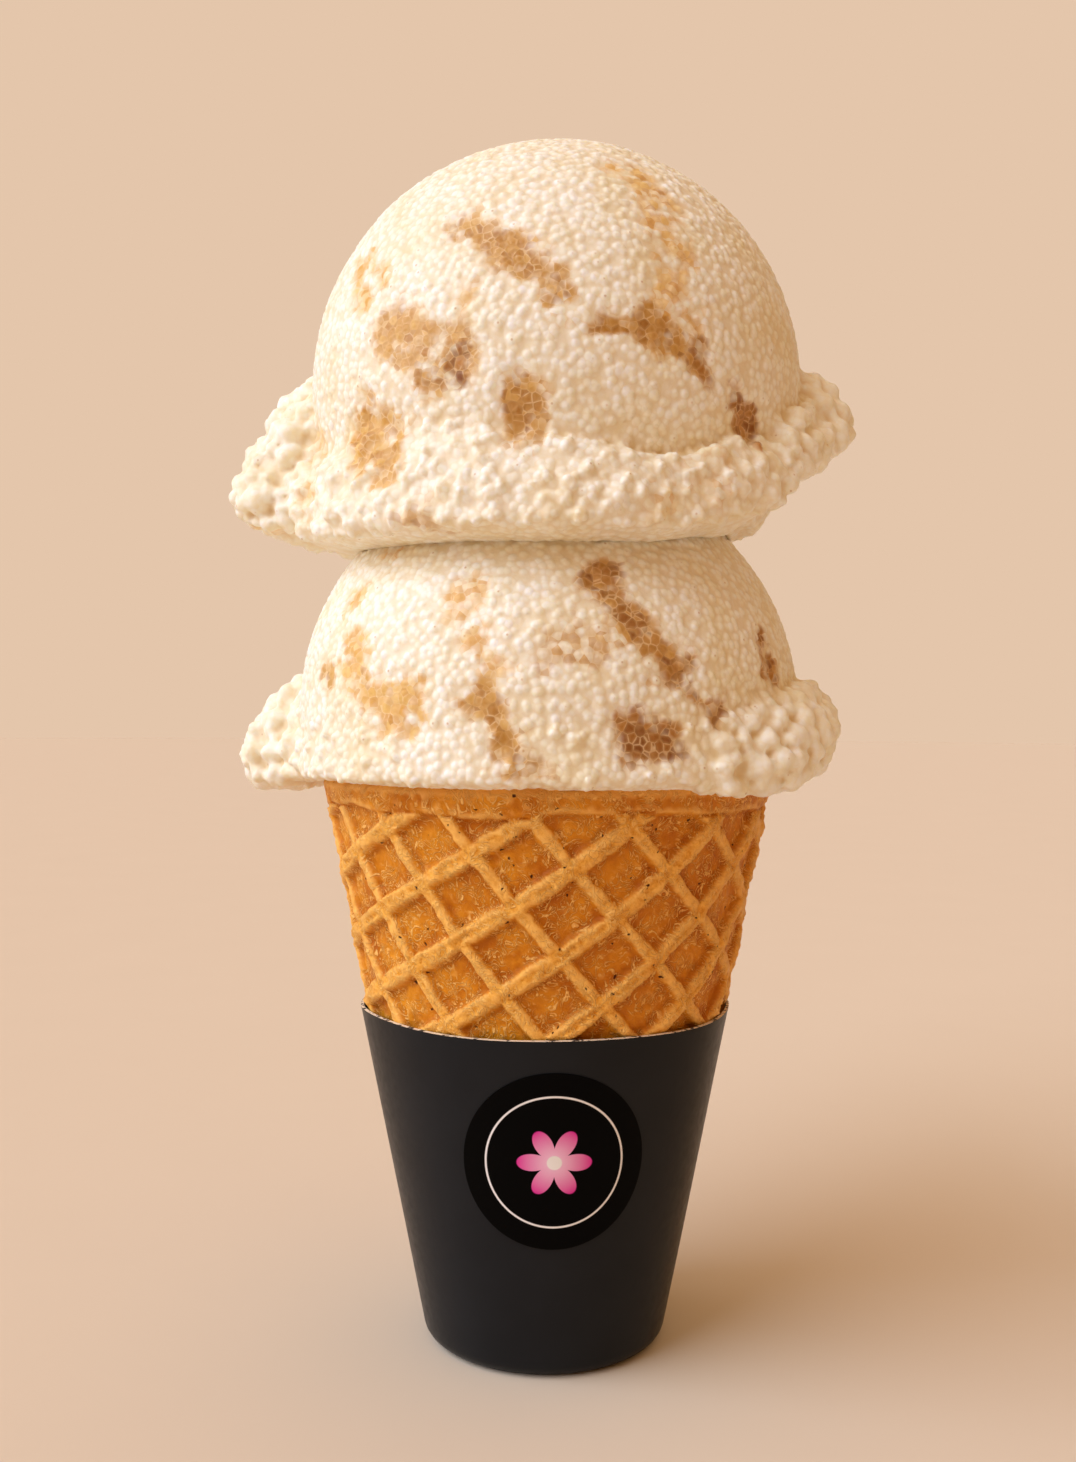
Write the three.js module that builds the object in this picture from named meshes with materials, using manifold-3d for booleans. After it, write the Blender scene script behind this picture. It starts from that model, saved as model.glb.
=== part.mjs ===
// Two scoops of ripple ice cream on a flat-footed rolled wafer cone, standing in a black card holder.
// Millimetres, +Z up. The origin is the middle of the holder's flat foot, and the shown side faces -Y.
// Azimuths are in degrees round +Z: 0 is the front (-Y), 90 the right (+X) and 180 the back.
import * as THREE from "three";
import { mergeVertices } from "three/addons/utils/BufferGeometryUtils.js";
import Module from "manifold-3d";

const wasm = await Module();
wasm.setup();

const gap = 0.3;

const holder = {
  height: 44.3,
  footRadius: 15.7,
  slope: 0.204,
  wall: 0.4,
  floor: 1,
  footRounding: 2,
  segments: 48,
  lapStep: 0.35,
  lapAzimuth: 170,
  lapSpan: 40,
};

const label = { radius: 11.35, thickness: 0.2, lift: 0.2, height: 29.1, azimuth: 3, rings: 3, spokes: 28 };

const wafer = {
  rimHeight: 74.4,
  ribRadiusAtFoot: 15.65,
  slope: 0.19,
  ribHeight: 1.0,
  ribWidth: 3,
  ribCrown: 1.2,
  wall: 2.0,
  floor: 3,
  bandHeight: 3.2,
  bandProud: 0.15,
  segments: 40,
  rollStep: 1.2,
  rollAzimuth: 180,
  rollSpan: 75,
};

// The flat baked lattice before it is rolled, measured on the sheet from the front of the rim:
// x runs to the right and y up the cone. The steps are those from one crossing to the next.
const lattice = {
  start: { x: -2.4, y: -3.3 },
  stepDown: { x: 5.26, y: -6.18 },
  stepAcross: { x: -6.89, y: -4.7 },
  reachUnderHolder: 2,
  ribSegment: 8.3,
};

const scoops = {
  lower: { x: 0.2, z: 82.9, radius: 32.9, flatTop: 107 },
  upper: { x: 0.94, z: 125, radius: 32.2 },
  ballColumns: 36,
  ballRows: 22,
  collarColumns: 84,
  collarSides: 12,
  lowShare: 0.78,
  innerShare: 0.35,
  ruffle: 1,
  ruffleLength: 13,
};

// The torn collar that the scoop leaves round the foot of each ball. Its section starts inside the
// ball at the foot. At each azimuth: how far it reaches, the heights of its shoulder, of its underside,
// of its tip and of its crest, and how far the crest stands from the axis.
const lowerCollar = {
  foot: { radius: 24, z: 74.6 },
  shoulderRadius: 28.5,
  lumpiness: 0.7,
  stations: [
    { azimuth: 0, reach: 33.2, shoulder: 74.4, low: 74.7, tip: 76.6, top: 87, crest: 31.6 },
    { azimuth: 28, reach: 33.4, shoulder: 74.4, low: 74.6, tip: 76.8, top: 86, crest: 31.8 },
    { azimuth: 40, reach: 34.8, shoulder: 74.2, low: 73.4, tip: 77, top: 82.8, crest: 32.6 },
    { azimuth: 54, reach: 37, shoulder: 74, low: 73.6, tip: 78, top: 84.4, crest: 33.6 },
    { azimuth: 66, reach: 37.8, shoulder: 74.2, low: 75, tip: 81, top: 86.2, crest: 34 },
    { azimuth: 78, reach: 37.6, shoulder: 74.4, low: 76.4, tip: 82.2, top: 87, crest: 34 },
    { azimuth: 92, reach: 35.6, shoulder: 74.6, low: 75.8, tip: 81.5, top: 85.6, crest: 33 },
    { azimuth: 118, reach: 34.2, shoulder: 74.6, low: 74.8, tip: 79, top: 84, crest: 32 },
    { azimuth: 150, reach: 33.4, shoulder: 74.6, low: 74.6, tip: 78, top: 84, crest: 31.6 },
    { azimuth: 182, reach: 34.8, shoulder: 74.4, low: 74, tip: 78, top: 83.5, crest: 32.4 },
    { azimuth: 212, reach: 33.8, shoulder: 74.6, low: 74.4, tip: 78, top: 83.5, crest: 31.6 },
    { azimuth: 232, reach: 35, shoulder: 74.4, low: 74, tip: 78, top: 84.6, crest: 32.6 },
    { azimuth: 245, reach: 39.8, shoulder: 74, low: 72.6, tip: 78, top: 86.6, crest: 34.6 },
    { azimuth: 257, reach: 43, shoulder: 74, low: 72, tip: 78.6, top: 87.8, crest: 35.2 },
    { azimuth: 268, reach: 41, shoulder: 74, low: 72.6, tip: 78.2, top: 86.6, crest: 34.6 },
    { azimuth: 278, reach: 35.2, shoulder: 74.4, low: 74.2, tip: 77.6, top: 84.2, crest: 32.2 },
    { azimuth: 286, reach: 33.2, shoulder: 74.5, low: 74.8, tip: 77.2, top: 84.8, crest: 31.2 },
    { azimuth: 296, reach: 33.6, shoulder: 74.4, low: 74.7, tip: 76.8, top: 86, crest: 31.4 },
    { azimuth: 330, reach: 33.3, shoulder: 74.4, low: 74.7, tip: 76.6, top: 87, crest: 31.5 },
  ],
};
const upperCollar = {
  foot: { radius: 18, z: 102.6 },
  shoulderRadius: 25.4,
  lumpiness: 2.9,
  stations: [
    { azimuth: 0, reach: 33.5, shoulder: 103.2, low: 103.7, tip: 106.4, top: 114.4, crest: 30.8 },
    { azimuth: 22, reach: 33.7, shoulder: 103.4, low: 104, tip: 106.9, top: 112.8, crest: 31.4 },
    { azimuth: 48, reach: 34.2, shoulder: 104.6, low: 106.8, tip: 109.6, top: 115.4, crest: 32.2 },
    { azimuth: 68, reach: 35.6, shoulder: 107, low: 112.4, tip: 116.2, top: 120.8, crest: 33.2 },
    { azimuth: 88, reach: 38.8, shoulder: 108.4, low: 117, tip: 121.6, top: 127.6, crest: 34 },
    { azimuth: 104, reach: 37.4, shoulder: 108, low: 116.2, tip: 120.6, top: 125.6, crest: 33.8 },
    { azimuth: 130, reach: 35, shoulder: 105.4, low: 109.8, tip: 114, top: 120, crest: 32.8 },
    { azimuth: 160, reach: 34, shoulder: 104, low: 105.8, tip: 110, top: 116, crest: 31.6 },
    { azimuth: 190, reach: 34.8, shoulder: 103.8, low: 105, tip: 109.4, top: 114.6, crest: 32 },
    { azimuth: 220, reach: 34.2, shoulder: 103.8, low: 104.8, tip: 109, top: 115, crest: 31.6 },
    { azimuth: 240, reach: 36.4, shoulder: 103.9, low: 105.2, tip: 110.6, top: 118, crest: 33 },
    { azimuth: 252, reach: 41.4, shoulder: 104.2, low: 106.2, tip: 112.4, top: 124.4, crest: 34.6 },
    { azimuth: 264, reach: 43.8, shoulder: 104.4, low: 107.4, tip: 113.4, top: 127, crest: 35 },
    { azimuth: 275, reach: 41.6, shoulder: 104.2, low: 106.8, tip: 112, top: 123.4, crest: 34.2 },
    { azimuth: 283, reach: 35.4, shoulder: 103.9, low: 105.6, tip: 109.4, top: 115.6, crest: 31.6 },
    { azimuth: 290, reach: 33.6, shoulder: 103.6, low: 104.6, tip: 107.6, top: 115.4, crest: 30.8 },
    { azimuth: 302, reach: 34.2, shoulder: 103.4, low: 104, tip: 107, top: 116, crest: 31 },
    { azimuth: 334, reach: 33.8, shoulder: 103.2, low: 103.7, tip: 106.4, top: 116.6, crest: 30.8 },
  ],
};

const colours = { card: 0x1b1a1a, label: 0x050505, wafer: 0xd28f45, cream: 0xf4e6c8 };

const radians = THREE.MathUtils.degToRad;
const holderRadius = (z) => holder.footRadius + holder.slope * z;
const ribRadius = (z) => wafer.ribRadiusAtFoot + wafer.slope * z;
const sheetRadius = (z) => ribRadius(z) - wafer.ribHeight;
const innerRadius = (z) => sheetRadius(z) - wafer.wall;

// How far the rolled sheet stands proud where its end laps over the turn beneath.
function lapProud(azimuth) {
  const share = (THREE.MathUtils.radToDeg(azimuth) - wafer.rollAzimuth) / wafer.rollSpan + 1;
  return wafer.rollStep * THREE.MathUtils.clamp(share, 0, 1);
}

// A point at a distance from the axis, an azimuth in radians and a height.
function polar(radius, azimuth, z) {
  return new THREE.Vector3(radius * Math.sin(azimuth), -radius * Math.cos(azimuth), z);
}

// A closed three.js geometry as a manifold solid.
function solid(geometry) {
  const bare = geometry.clone();
  bare.deleteAttribute("normal");
  bare.deleteAttribute("uv");
  const merged = mergeVertices(bare, 1e-4);
  return new wasm.Manifold(
    new wasm.Mesh({
      numProp: 3,
      vertProperties: merged.attributes.position.array,
      triVerts: new Uint32Array(merged.index.array),
    }),
  );
}

function geometryOf(made) {
  const mesh = made.getMesh();
  const geometry = new THREE.BufferGeometry();
  geometry.setAttribute("position", new THREE.BufferAttribute(mesh.vertProperties, 3));
  geometry.setIndex(new THREE.BufferAttribute(mesh.triVerts, 1));
  geometry.computeVertexNormals();
  return geometry;
}

// A solid of revolution about +Z from [radius, z] points that go up the outside and come back inside.
function turned(points, segments) {
  const profile = points.map(([radius, z]) => new THREE.Vector2(radius, z));
  return new THREE.LatheGeometry(profile, segments).rotateX(Math.PI / 2);
}

// A closed body from loops of points of equal count: open loops in a row with end caps,
// or a ring of loops that closes on itself.
function lofted(loops, closed) {
  const sides = loops[0].length;
  const positions = loops.flat().flatMap((point) => point.toArray());
  const index = [];
  const quads = closed ? loops.length : loops.length - 1;
  for (let i = 0; i < quads; i++) {
    for (let j = 0; j < sides; j++) {
      const a = i * sides + j;
      const b = i * sides + ((j + 1) % sides);
      const c = ((i + 1) % loops.length) * sides + ((j + 1) % sides);
      const d = ((i + 1) % loops.length) * sides + j;
      index.push(a, b, c, a, c, d);
    }
  }
  if (!closed) {
    const last = (loops.length - 1) * sides;
    for (let j = 1; j < sides - 1; j++) {
      index.push(0, j + 1, j);
      index.push(last, last + j, last + j + 1);
    }
  }
  const geometry = new THREE.BufferGeometry();
  geometry.setAttribute("position", new THREE.Float32BufferAttribute(positions, 3));
  geometry.setIndex(index);
  return geometry;
}

function facingOut(geometry) {
  const made = solid(geometry);
  if (made.volume() > 0) return made;
  const index = geometry.index.array;
  for (let i = 0; i < index.length; i += 3) {
    [index[i + 1], index[i + 2]] = [index[i + 2], index[i + 1]];
  }
  return solid(geometry);
}

// The end of a rolled sheet where it laps over itself: a step at one azimuth that thins to nothing.
function lap({ from, to, step, azimuth, span, radiusAt }) {
  const slices = 10;
  const loops = [];
  for (let i = 0; i <= slices; i++) {
    const share = i / slices;
    const angle = radians(azimuth - span * share);
    const proud = Math.max(step * (1 - share), 0.02);
    loops.push([
      polar(radiusAt(from) - 0.25, angle, from),
      polar(radiusAt(from) + proud, angle, from),
      polar(radiusAt(to) + proud, angle, to),
      polar(radiusAt(to) - 0.25, angle, to),
    ]);
  }
  return facingOut(lofted(loops, false));
}

function makeHolder() {
  const corner = holder.footRounding;
  const outside = [];
  for (const share of [0, 0.33, 0.67, 1]) {
    const turn = (share * Math.PI) / 2;
    const middle = holderRadius(corner) - corner;
    outside.push([middle + corner * Math.sin(turn), corner - corner * Math.cos(turn)]);
  }
  const insideCorner = corner - holder.wall;
  const inside = [
    [holderRadius(corner) - holder.wall, holder.floor + insideCorner],
    [holderRadius(corner) - corner, holder.floor],
  ];
  const top = holder.height;
  const cup = turned(
    [
      [0, 0],
      ...outside,
      [holderRadius(top), top],
      [holderRadius(top) - holder.wall, top],
      ...inside,
      [0, holder.floor],
    ],
    holder.segments,
  );
  const seam = lap({
    from: corner + 1,
    to: top,
    step: holder.lapStep,
    azimuth: holder.lapAzimuth,
    span: holder.lapSpan,
    radiusAt: holderRadius,
  });
  return solid(cup).add(seam);
}

// A round sticker bent to the holder's cone: rings of points on the sheet, inner and outer face.
function makeLabel() {
  const loops = [];
  const at = (radius, angle, proud) => {
    const z = label.height + radius * Math.sin(angle);
    const around = (radius * Math.cos(angle)) / holderRadius(z);
    return polar(holderRadius(z) + proud, radians(label.azimuth) + around, z);
  };
  const positions = [];
  const index = [];
  const faces = [label.lift, label.lift + label.thickness];
  for (const proud of faces) {
    positions.push(at(0, 0, proud));
    for (let ring = 1; ring <= label.rings; ring++) {
      for (let spoke = 0; spoke < label.spokes; spoke++) {
        const angle = (2 * Math.PI * spoke) / label.spokes;
        positions.push(at((label.radius * ring) / label.rings, angle, proud));
      }
    }
  }
  const perFace = positions.length / 2;
  const on = (face, ring, spoke) => face * perFace + 1 + (ring - 1) * label.spokes + (spoke % label.spokes);
  for (let spoke = 0; spoke < label.spokes; spoke++) {
    for (const face of [0, 1]) {
      const flip = face === 0;
      const put = (a, b, c) => (flip ? index.push(a, c, b) : index.push(a, b, c));
      put(face * perFace, on(face, 1, spoke), on(face, 1, spoke + 1));
      for (let ring = 1; ring < label.rings; ring++) {
        put(on(face, ring, spoke), on(face, ring + 1, spoke), on(face, ring + 1, spoke + 1));
        put(on(face, ring, spoke), on(face, ring + 1, spoke + 1), on(face, ring, spoke + 1));
      }
    }
    const edge = label.rings;
    index.push(on(1, edge, spoke), on(0, edge, spoke), on(0, edge, spoke + 1));
    index.push(on(1, edge, spoke), on(0, edge, spoke + 1), on(1, edge, spoke + 1));
  }
  const geometry = new THREE.BufferGeometry();
  geometry.setAttribute(
    "position",
    new THREE.Float32BufferAttribute(
      positions.flatMap((point) => point.toArray()),
      3,
    ),
  );
  geometry.setIndex(index);
  return facingOut(geometry);
}

// Where a point of the flat sheet lands when the sheet is rolled into the cone.
const coneAngle = Math.atan(wafer.slope);
const apexHeight = -wafer.ribRadiusAtFoot / wafer.slope;
const slantAt = (z) => (z - apexHeight) / Math.cos(coneAngle);
function rolled(x, y, proud) {
  const up = slantAt(wafer.rimHeight) + y;
  const slant = Math.hypot(x, up);
  const azimuth = Math.atan2(x, up) / Math.sin(coneAngle);
  const z = apexHeight + slant * Math.cos(coneAngle);
  const point = polar(sheetRadius(z) + lapProud(azimuth) + proud, azimuth, z);
  return { point, azimuth, z };
}

// The ribs that run one way: straight lines on the sheet, one lattice step apart.
function ribs(along, across, family) {
  const length = Math.hypot(along.x, along.y);
  const unit = { x: along.x / length, y: along.y / length };
  const highest = wafer.rimHeight - wafer.bandHeight * 0.5;
  const lowestAt = (azimuth) => holder.height + (lapProud(azimuth) > 0 ? gap : -lattice.reachUnderHolder);
  const inside = ({ azimuth, z }) => Math.abs(azimuth) < Math.PI && z > lowestAt(azimuth) && z < highest;
  const made = [];
  for (let line = -24; line <= 24; line++) {
    const origin = {
      x: lattice.start.x + line * across.x,
      y: lattice.start.y + line * across.y,
    };
    let run = [];
    const finish = () => {
      if (run.length > 2) made.push(rib(run, unit, origin, family));
      run = [];
    };
    for (let distance = -150; distance <= 150; distance += lattice.ribSegment / 4) {
      const spot = rolled(origin.x + unit.x * distance, origin.y + unit.y * distance, 0);
      if (inside(spot)) run.push(distance);
      else finish();
    }
    finish();
  }
  return made;
}

// One rib: a low trapezium swept along its line, thickest where the batter filled the groove.
function rib(run, unit, origin, family) {
  const sunk = 0.4;
  const first = run[0];
  const last = run[run.length - 1];
  const steps = Math.max(1, Math.round((last - first) / lattice.ribSegment));
  const side = { x: -unit.y, y: unit.x };
  const crown = wafer.ribHeight - family * 0.06;
  const loops = [];
  for (let i = 0; i <= steps; i++) {
    const distance = first + ((last - first) * i) / steps;
    const at = (offset, proud) =>
      rolled(
        origin.x + unit.x * distance + side.x * offset,
        origin.y + unit.y * distance + side.y * offset,
        proud,
      ).point;
    loops.push([
      at(-wafer.ribWidth / 2, -sunk),
      at(wafer.ribWidth / 2, -sunk),
      at(wafer.ribCrown / 2, crown),
      at(-wafer.ribCrown / 2, crown),
    ]);
  }
  return facingOut(lofted(loops, false));
}

function makeWafer() {
  const foot = holder.floor + gap;
  const cornerHeight = foot + 3;
  const bandLow = wafer.rimHeight - wafer.bandHeight;
  const shell = turned(
    [
      [0, foot],
      [holderRadius(0) - holder.footRounding - gap, foot],
      [sheetRadius(cornerHeight), cornerHeight],
      [sheetRadius(bandLow - 0.4), bandLow - 0.4],
      [ribRadius(bandLow) + wafer.bandProud, bandLow + 0.2],
      [ribRadius(wafer.rimHeight) + wafer.bandProud, wafer.rimHeight - 0.5],
      [ribRadius(wafer.rimHeight) - 0.6, wafer.rimHeight],
      [innerRadius(wafer.rimHeight) + 0.5, wafer.rimHeight],
      [innerRadius(wafer.rimHeight), wafer.rimHeight - 0.5],
      [innerRadius(foot + wafer.floor), foot + wafer.floor],
      [0, foot + wafer.floor],
    ],
    wafer.segments,
  );
  const rollEdge = lap({
    from: holder.height + 0.2,
    to: wafer.rimHeight - 0.6,
    step: wafer.rollStep,
    azimuth: wafer.rollAzimuth,
    span: wafer.rollSpan,
    radiusAt: sheetRadius,
  });
  const all = [
    solid(shell),
    rollEdge,
    ...ribs(lattice.stepDown, lattice.stepAcross, 0),
    ...ribs(lattice.stepAcross, lattice.stepDown, 1),
  ];
  return all.reduce((joined, next) => joined.add(next));
}

// The collar's measures at any azimuth, eased from one station to the next.
function collarAt(stations, azimuth) {
  const turn = ((azimuth % 360) + 360) % 360;
  const count = stations.length;
  let next = stations.findIndex((station) => station.azimuth > turn);
  if (next < 0) next = count;
  const from = stations[(next - 1 + count) % count];
  const to = stations[next % count];
  const span = (to.azimuth - from.azimuth + 360) % 360;
  const share = ((turn - from.azimuth + 360) % 360) / span;
  const eased = share * share * (3 - 2 * share);
  const mixed = {};
  for (const key of Object.keys(from)) mixed[key] = from[key] + (to[key] - from[key]) * eased;
  return mixed;
}

// A soft three-way wave that lifts and sinks the torn edge in lumps, more where it reaches further.
function ruffleOf(point, reach, offset) {
  const turns = (2 * Math.PI) / scoops.ruffleLength;
  const { x, y, z } = point;
  const first = Math.sin(x * turns + offset) * Math.sin(y * turns * 1.1 + 2 * offset);
  const second = Math.sin((x + z) * turns * 0.7 + 1.3) * Math.sin((y - z) * turns * 0.8);
  const third = 0.6 * Math.sin((x - y) * turns * 1.5 + offset) * Math.sin(z * turns * 1.4);
  const strength = THREE.MathUtils.clamp((reach - 32) / 4, 0.2, 1);
  return scoops.ruffle * strength * (first + second + third);
}

// The collar: a lip-shaped section carried once round the ball.
function makeCollar({ foot, shoulderRadius, lumpiness, stations }, centreX) {
  const loops = [];
  for (let i = 0; i < scoops.collarColumns; i++) {
    const azimuth = (360 * i) / scoops.collarColumns;
    const at = collarAt(stations, azimuth);
    const section = new THREE.CatmullRomCurve3(
      [
        new THREE.Vector3(foot.radius, 0, foot.z),
        new THREE.Vector3(shoulderRadius, 0, at.shoulder),
        new THREE.Vector3(shoulderRadius + scoops.lowShare * (at.reach - shoulderRadius), 0, at.low),
        new THREE.Vector3(at.reach, 0, at.tip),
        new THREE.Vector3(at.crest, 0, at.top),
        new THREE.Vector3(foot.radius + scoops.innerShare * (at.crest - foot.radius), 0, at.top - 2),
      ],
      true,
      "centripetal",
    );
    const turn = radians(azimuth);
    const loop = section
      .getPoints(scoops.collarSides)
      .slice(0, scoops.collarSides)
      .map((point) => {
        const outwards = THREE.MathUtils.clamp((point.x - 29) / 4, 0, 1);
        const push = outwards * ruffleOf(polar(point.x, turn, point.z), at.reach, lumpiness);
        const moved = polar(point.x + push, turn, point.z + 0.4 * push);
        moved.x += centreX;
        return moved;
      });
    loops.push(loop);
  }
  return facingOut(lofted(loops, true));
}

function ball(scoop, grow = 0) {
  const geometry = new THREE.SphereGeometry(scoop.radius + grow, scoops.ballColumns, scoops.ballRows);
  return solid(geometry.rotateX(Math.PI / 2).translate(scoop.x, 0, scoop.z));
}

// Everything up to a height, as a wide disc to cut with.
function below(height) {
  const wide = 60;
  return solid(turned([[0, -10], [wide, -10], [wide, height], [0, height]], 8));
}

function makeLowerScoop() {
  const seat = wafer.rimHeight + gap;
  const mouth = turned(
    [
      [0, 30],
      [ribRadius(30) + wafer.rollStep + gap, 30],
      [ribRadius(seat) + wafer.rollStep + gap, seat],
      [0, seat],
    ],
    scoops.ballColumns,
  );
  const fillFoot = holder.floor + gap + wafer.floor + gap;
  const filling = turned(
    [
      [0, fillFoot],
      [innerRadius(fillFoot) - gap, fillFoot],
      [innerRadius(wafer.rimHeight) - 2 * gap, seat + 1],
      [0, seat + 1],
    ],
    scoops.ballColumns,
  );
  const domed = ball(scoops.lower).intersect(below(scoops.lower.flatTop));
  return domed.add(makeCollar(lowerCollar, scoops.lower.x)).subtract(solid(mouth)).add(solid(filling));
}

function makeUpperScoop() {
  const dome = ball(scoops.lower, gap).intersect(below(scoops.lower.flatTop + gap));
  const under = below(90);
  return ball(scoops.upper).add(makeCollar(upperCollar, scoops.upper.x)).subtract(dome).subtract(under);
}

function node(name, made, colour, roughness) {
  const material = new THREE.MeshStandardMaterial({ color: colour, roughness, metalness: 0 });
  const mesh = new THREE.Mesh(geometryOf(made), material);
  mesh.name = name;
  return mesh;
}

const cone = new THREE.Group();
cone.add(node("holder", makeHolder(), colours.card, 0.45));
cone.add(node("label", makeLabel(), colours.label, 0.6));
cone.add(node("wafer_cone", makeWafer(), colours.wafer, 0.6));
cone.add(node("scoop_lower", makeLowerScoop(), colours.cream, 0.5));
cone.add(node("scoop_upper", makeUpperScoop(), colours.cream, 0.5));
export default cone;
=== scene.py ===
import math

import bmesh
import bpy
import numpy as np
from mathutils import Matrix, Vector, noise


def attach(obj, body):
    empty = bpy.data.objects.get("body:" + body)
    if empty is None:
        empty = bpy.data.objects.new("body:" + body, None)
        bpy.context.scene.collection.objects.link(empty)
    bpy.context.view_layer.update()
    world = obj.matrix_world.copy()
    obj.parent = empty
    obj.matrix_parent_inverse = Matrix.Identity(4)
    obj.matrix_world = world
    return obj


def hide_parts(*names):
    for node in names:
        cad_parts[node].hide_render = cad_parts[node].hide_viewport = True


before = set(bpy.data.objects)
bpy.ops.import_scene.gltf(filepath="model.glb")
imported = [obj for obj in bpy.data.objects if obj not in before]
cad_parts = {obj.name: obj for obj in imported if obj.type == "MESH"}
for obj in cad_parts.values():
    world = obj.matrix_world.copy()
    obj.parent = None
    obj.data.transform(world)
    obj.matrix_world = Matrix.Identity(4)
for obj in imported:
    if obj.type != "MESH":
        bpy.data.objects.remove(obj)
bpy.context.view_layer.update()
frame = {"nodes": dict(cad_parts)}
print("frame loaded:", ", ".join(frame["nodes"]))

mm = 0.001  # what the pieces are set to is in mm and degrees, and the studio in metres


# Small tools that every piece uses


def hexToLinear(code):
    # an sRGB hex value as linear RGBA
    parts = [int(code[i : i + 2], 16) / 255 for i in (1, 3, 5)]
    return [p / 12.92 if p <= 0.04045 else ((p + 0.055) / 1.055) ** 2.4 for p in parts] + [1.0]


def deselectAll():
    if bpy.context.mode != "OBJECT":
        bpy.ops.object.mode_set(mode="OBJECT")
    bpy.ops.object.select_all(action="DESELECT")


def settle(name):
    # names the new primitive and puts its place into its mesh
    piece = bpy.context.object
    piece.name = name
    piece.data.name = name
    bpy.ops.object.transform_apply(location=True, rotation=True, scale=True)
    return piece


def makeActive(piece):
    deselectAll()
    piece.select_set(True)
    bpy.context.view_layer.objects.active = piece


def selectParts(piece, kind, test):
    # edit mode with the vertices, edges or faces selected whose centre and element pass the test
    makeActive(piece)
    bpy.ops.object.mode_set(mode="EDIT")
    bpy.ops.mesh.select_mode(type={"verts": "VERT", "edges": "EDGE", "faces": "FACE"}[kind])
    bpy.ops.mesh.select_all(action="DESELECT")
    body = bmesh.from_edit_mesh(piece.data)
    for part in getattr(body, kind):
        if kind == "verts":
            centre = part.co
        elif kind == "edges":
            centre = (part.verts[0].co + part.verts[1].co) / 2
        else:
            centre = part.calc_center_median()
        part.select = bool(test(centre, part))
    body.select_flush_mode()
    bmesh.update_edit_mesh(piece.data)


def readPoints(piece, kind="co"):
    points = np.empty(len(piece.data.vertices) * 3)
    piece.data.vertices.foreach_get(kind, points)
    return points.reshape(-1, 3)


def writePoints(piece, points):
    piece.data.vertices.foreach_set("co", points.ravel())
    piece.data.update()


def paint(piece, name, values):
    # one number for each vertex, which the materials read by its name
    layer = piece.data.attributes.get(name) or piece.data.attributes.new(name, "FLOAT", "POINT")
    layer.data.foreach_set("value", np.asarray(values, dtype=np.float32))


def applyModifier(piece, kind, **settings):
    makeActive(piece)
    bpy.ops.object.modifier_add(type=kind)
    modifier = piece.modifiers[-1]
    for key, value in settings.items():
        setattr(modifier, key, value)
    bpy.ops.object.modifier_apply(modifier=modifier.name)


def noiseAt(points, size, seed):
    # smooth noise from -1 to 1 with waves of the given size
    shift = Vector((seed * 17.3, seed * 5.1, seed * 11.7))
    return np.array([noise.noise(Vector(p) / size + shift) for p in points])


def noiseSum(points, waves, seed=0):
    # several noises together, each given by its size, its height and its own seed
    return sum(height * noiseAt(points, size, seed + own) for size, height, own in waves)


def smoothStep(values, low, high):
    share = np.clip((values - low) / (high - low), 0, 1)
    return share * share * (3 - 2 * share)


# settings that many nodes share
inColour = {"data_type": "RGBA"}
eased = {"interpolation_type": "SMOOTHSTEP"}
multiply = {"operation": "MULTIPLY"}
multiplyAdd = {"operation": "MULTIPLY_ADD"}
subtract = {"operation": "SUBTRACT"}


def feed(node, inputs):
    # an input takes a number, a colour as hex, an output, or a node for its first live output
    for key, value in inputs.items():
        if isinstance(value, bpy.types.Node):
            value = next(output for output in value.outputs if output.enabled)
        if isinstance(value, bpy.types.NodeSocket):
            node.id_data.links.new(value, node.inputs[key])
            continue
        isColour = isinstance(value, str) and value.startswith("#")
        node.inputs[key].default_value = hexToLinear(value) if isColour else value


def addNode(tree, kind, inputs=None, settings=None):
    node = tree.nodes.new(kind)
    for key, value in (settings or {}).items():
        setattr(node, key, value)
    feed(node, inputs or {})
    return node


def newMaterial(name):
    material = bpy.data.materials.new(name)
    material.use_nodes = True
    tree = material.node_tree
    tree.nodes.clear()

    def add(kind, inputs=None, settings=None):
        return addNode(tree, "ShaderNode" + kind, inputs, settings)

    shader = add("BsdfPrincipled")
    add("OutputMaterial", {"Surface": shader})
    return material, shader, add


def azimuthOf(points):
    # degrees round the axis: 0 at the front, 90 at the right
    return np.degrees(np.arctan2(points[:, 0], -points[:, 1]))


def hollowness(piece, rounds, depth):
    # how far each vertex lies below the average of those round it, from -1 on a bump to 1 in a dip
    points = readPoints(piece)
    edges = np.empty(len(piece.data.edges) * 2, dtype=np.int64)
    piece.data.edges.foreach_get("vertices", edges)
    a, b = edges.reshape(-1, 2).T
    count = len(points)
    near = np.maximum(np.bincount(a, minlength=count) + np.bincount(b, minlength=count), 1)
    average = points.copy()
    for turn in range(rounds):
        total = np.empty_like(average)
        for axis in range(3):
            total[:, axis] = np.bincount(a, average[b, axis], count) + np.bincount(b, average[a, axis], count)
        average = total / near[:, None]
    below = ((average - points) * readPoints(piece, "normal")).sum(axis=1)
    return np.clip(below / depth, -1, 1)


# Camera, at the place and angle of the photograph

cameraSetup = {
    "lens": 35.85,
    "distance": 195.5 * mm,
    "height": 84 * mm,
    "pitchDown": math.radians(1.02),
    "turnLeft": math.radians(0.37),
    "roll": math.radians(0.328),
    "nearest": 0.01,
}

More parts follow.
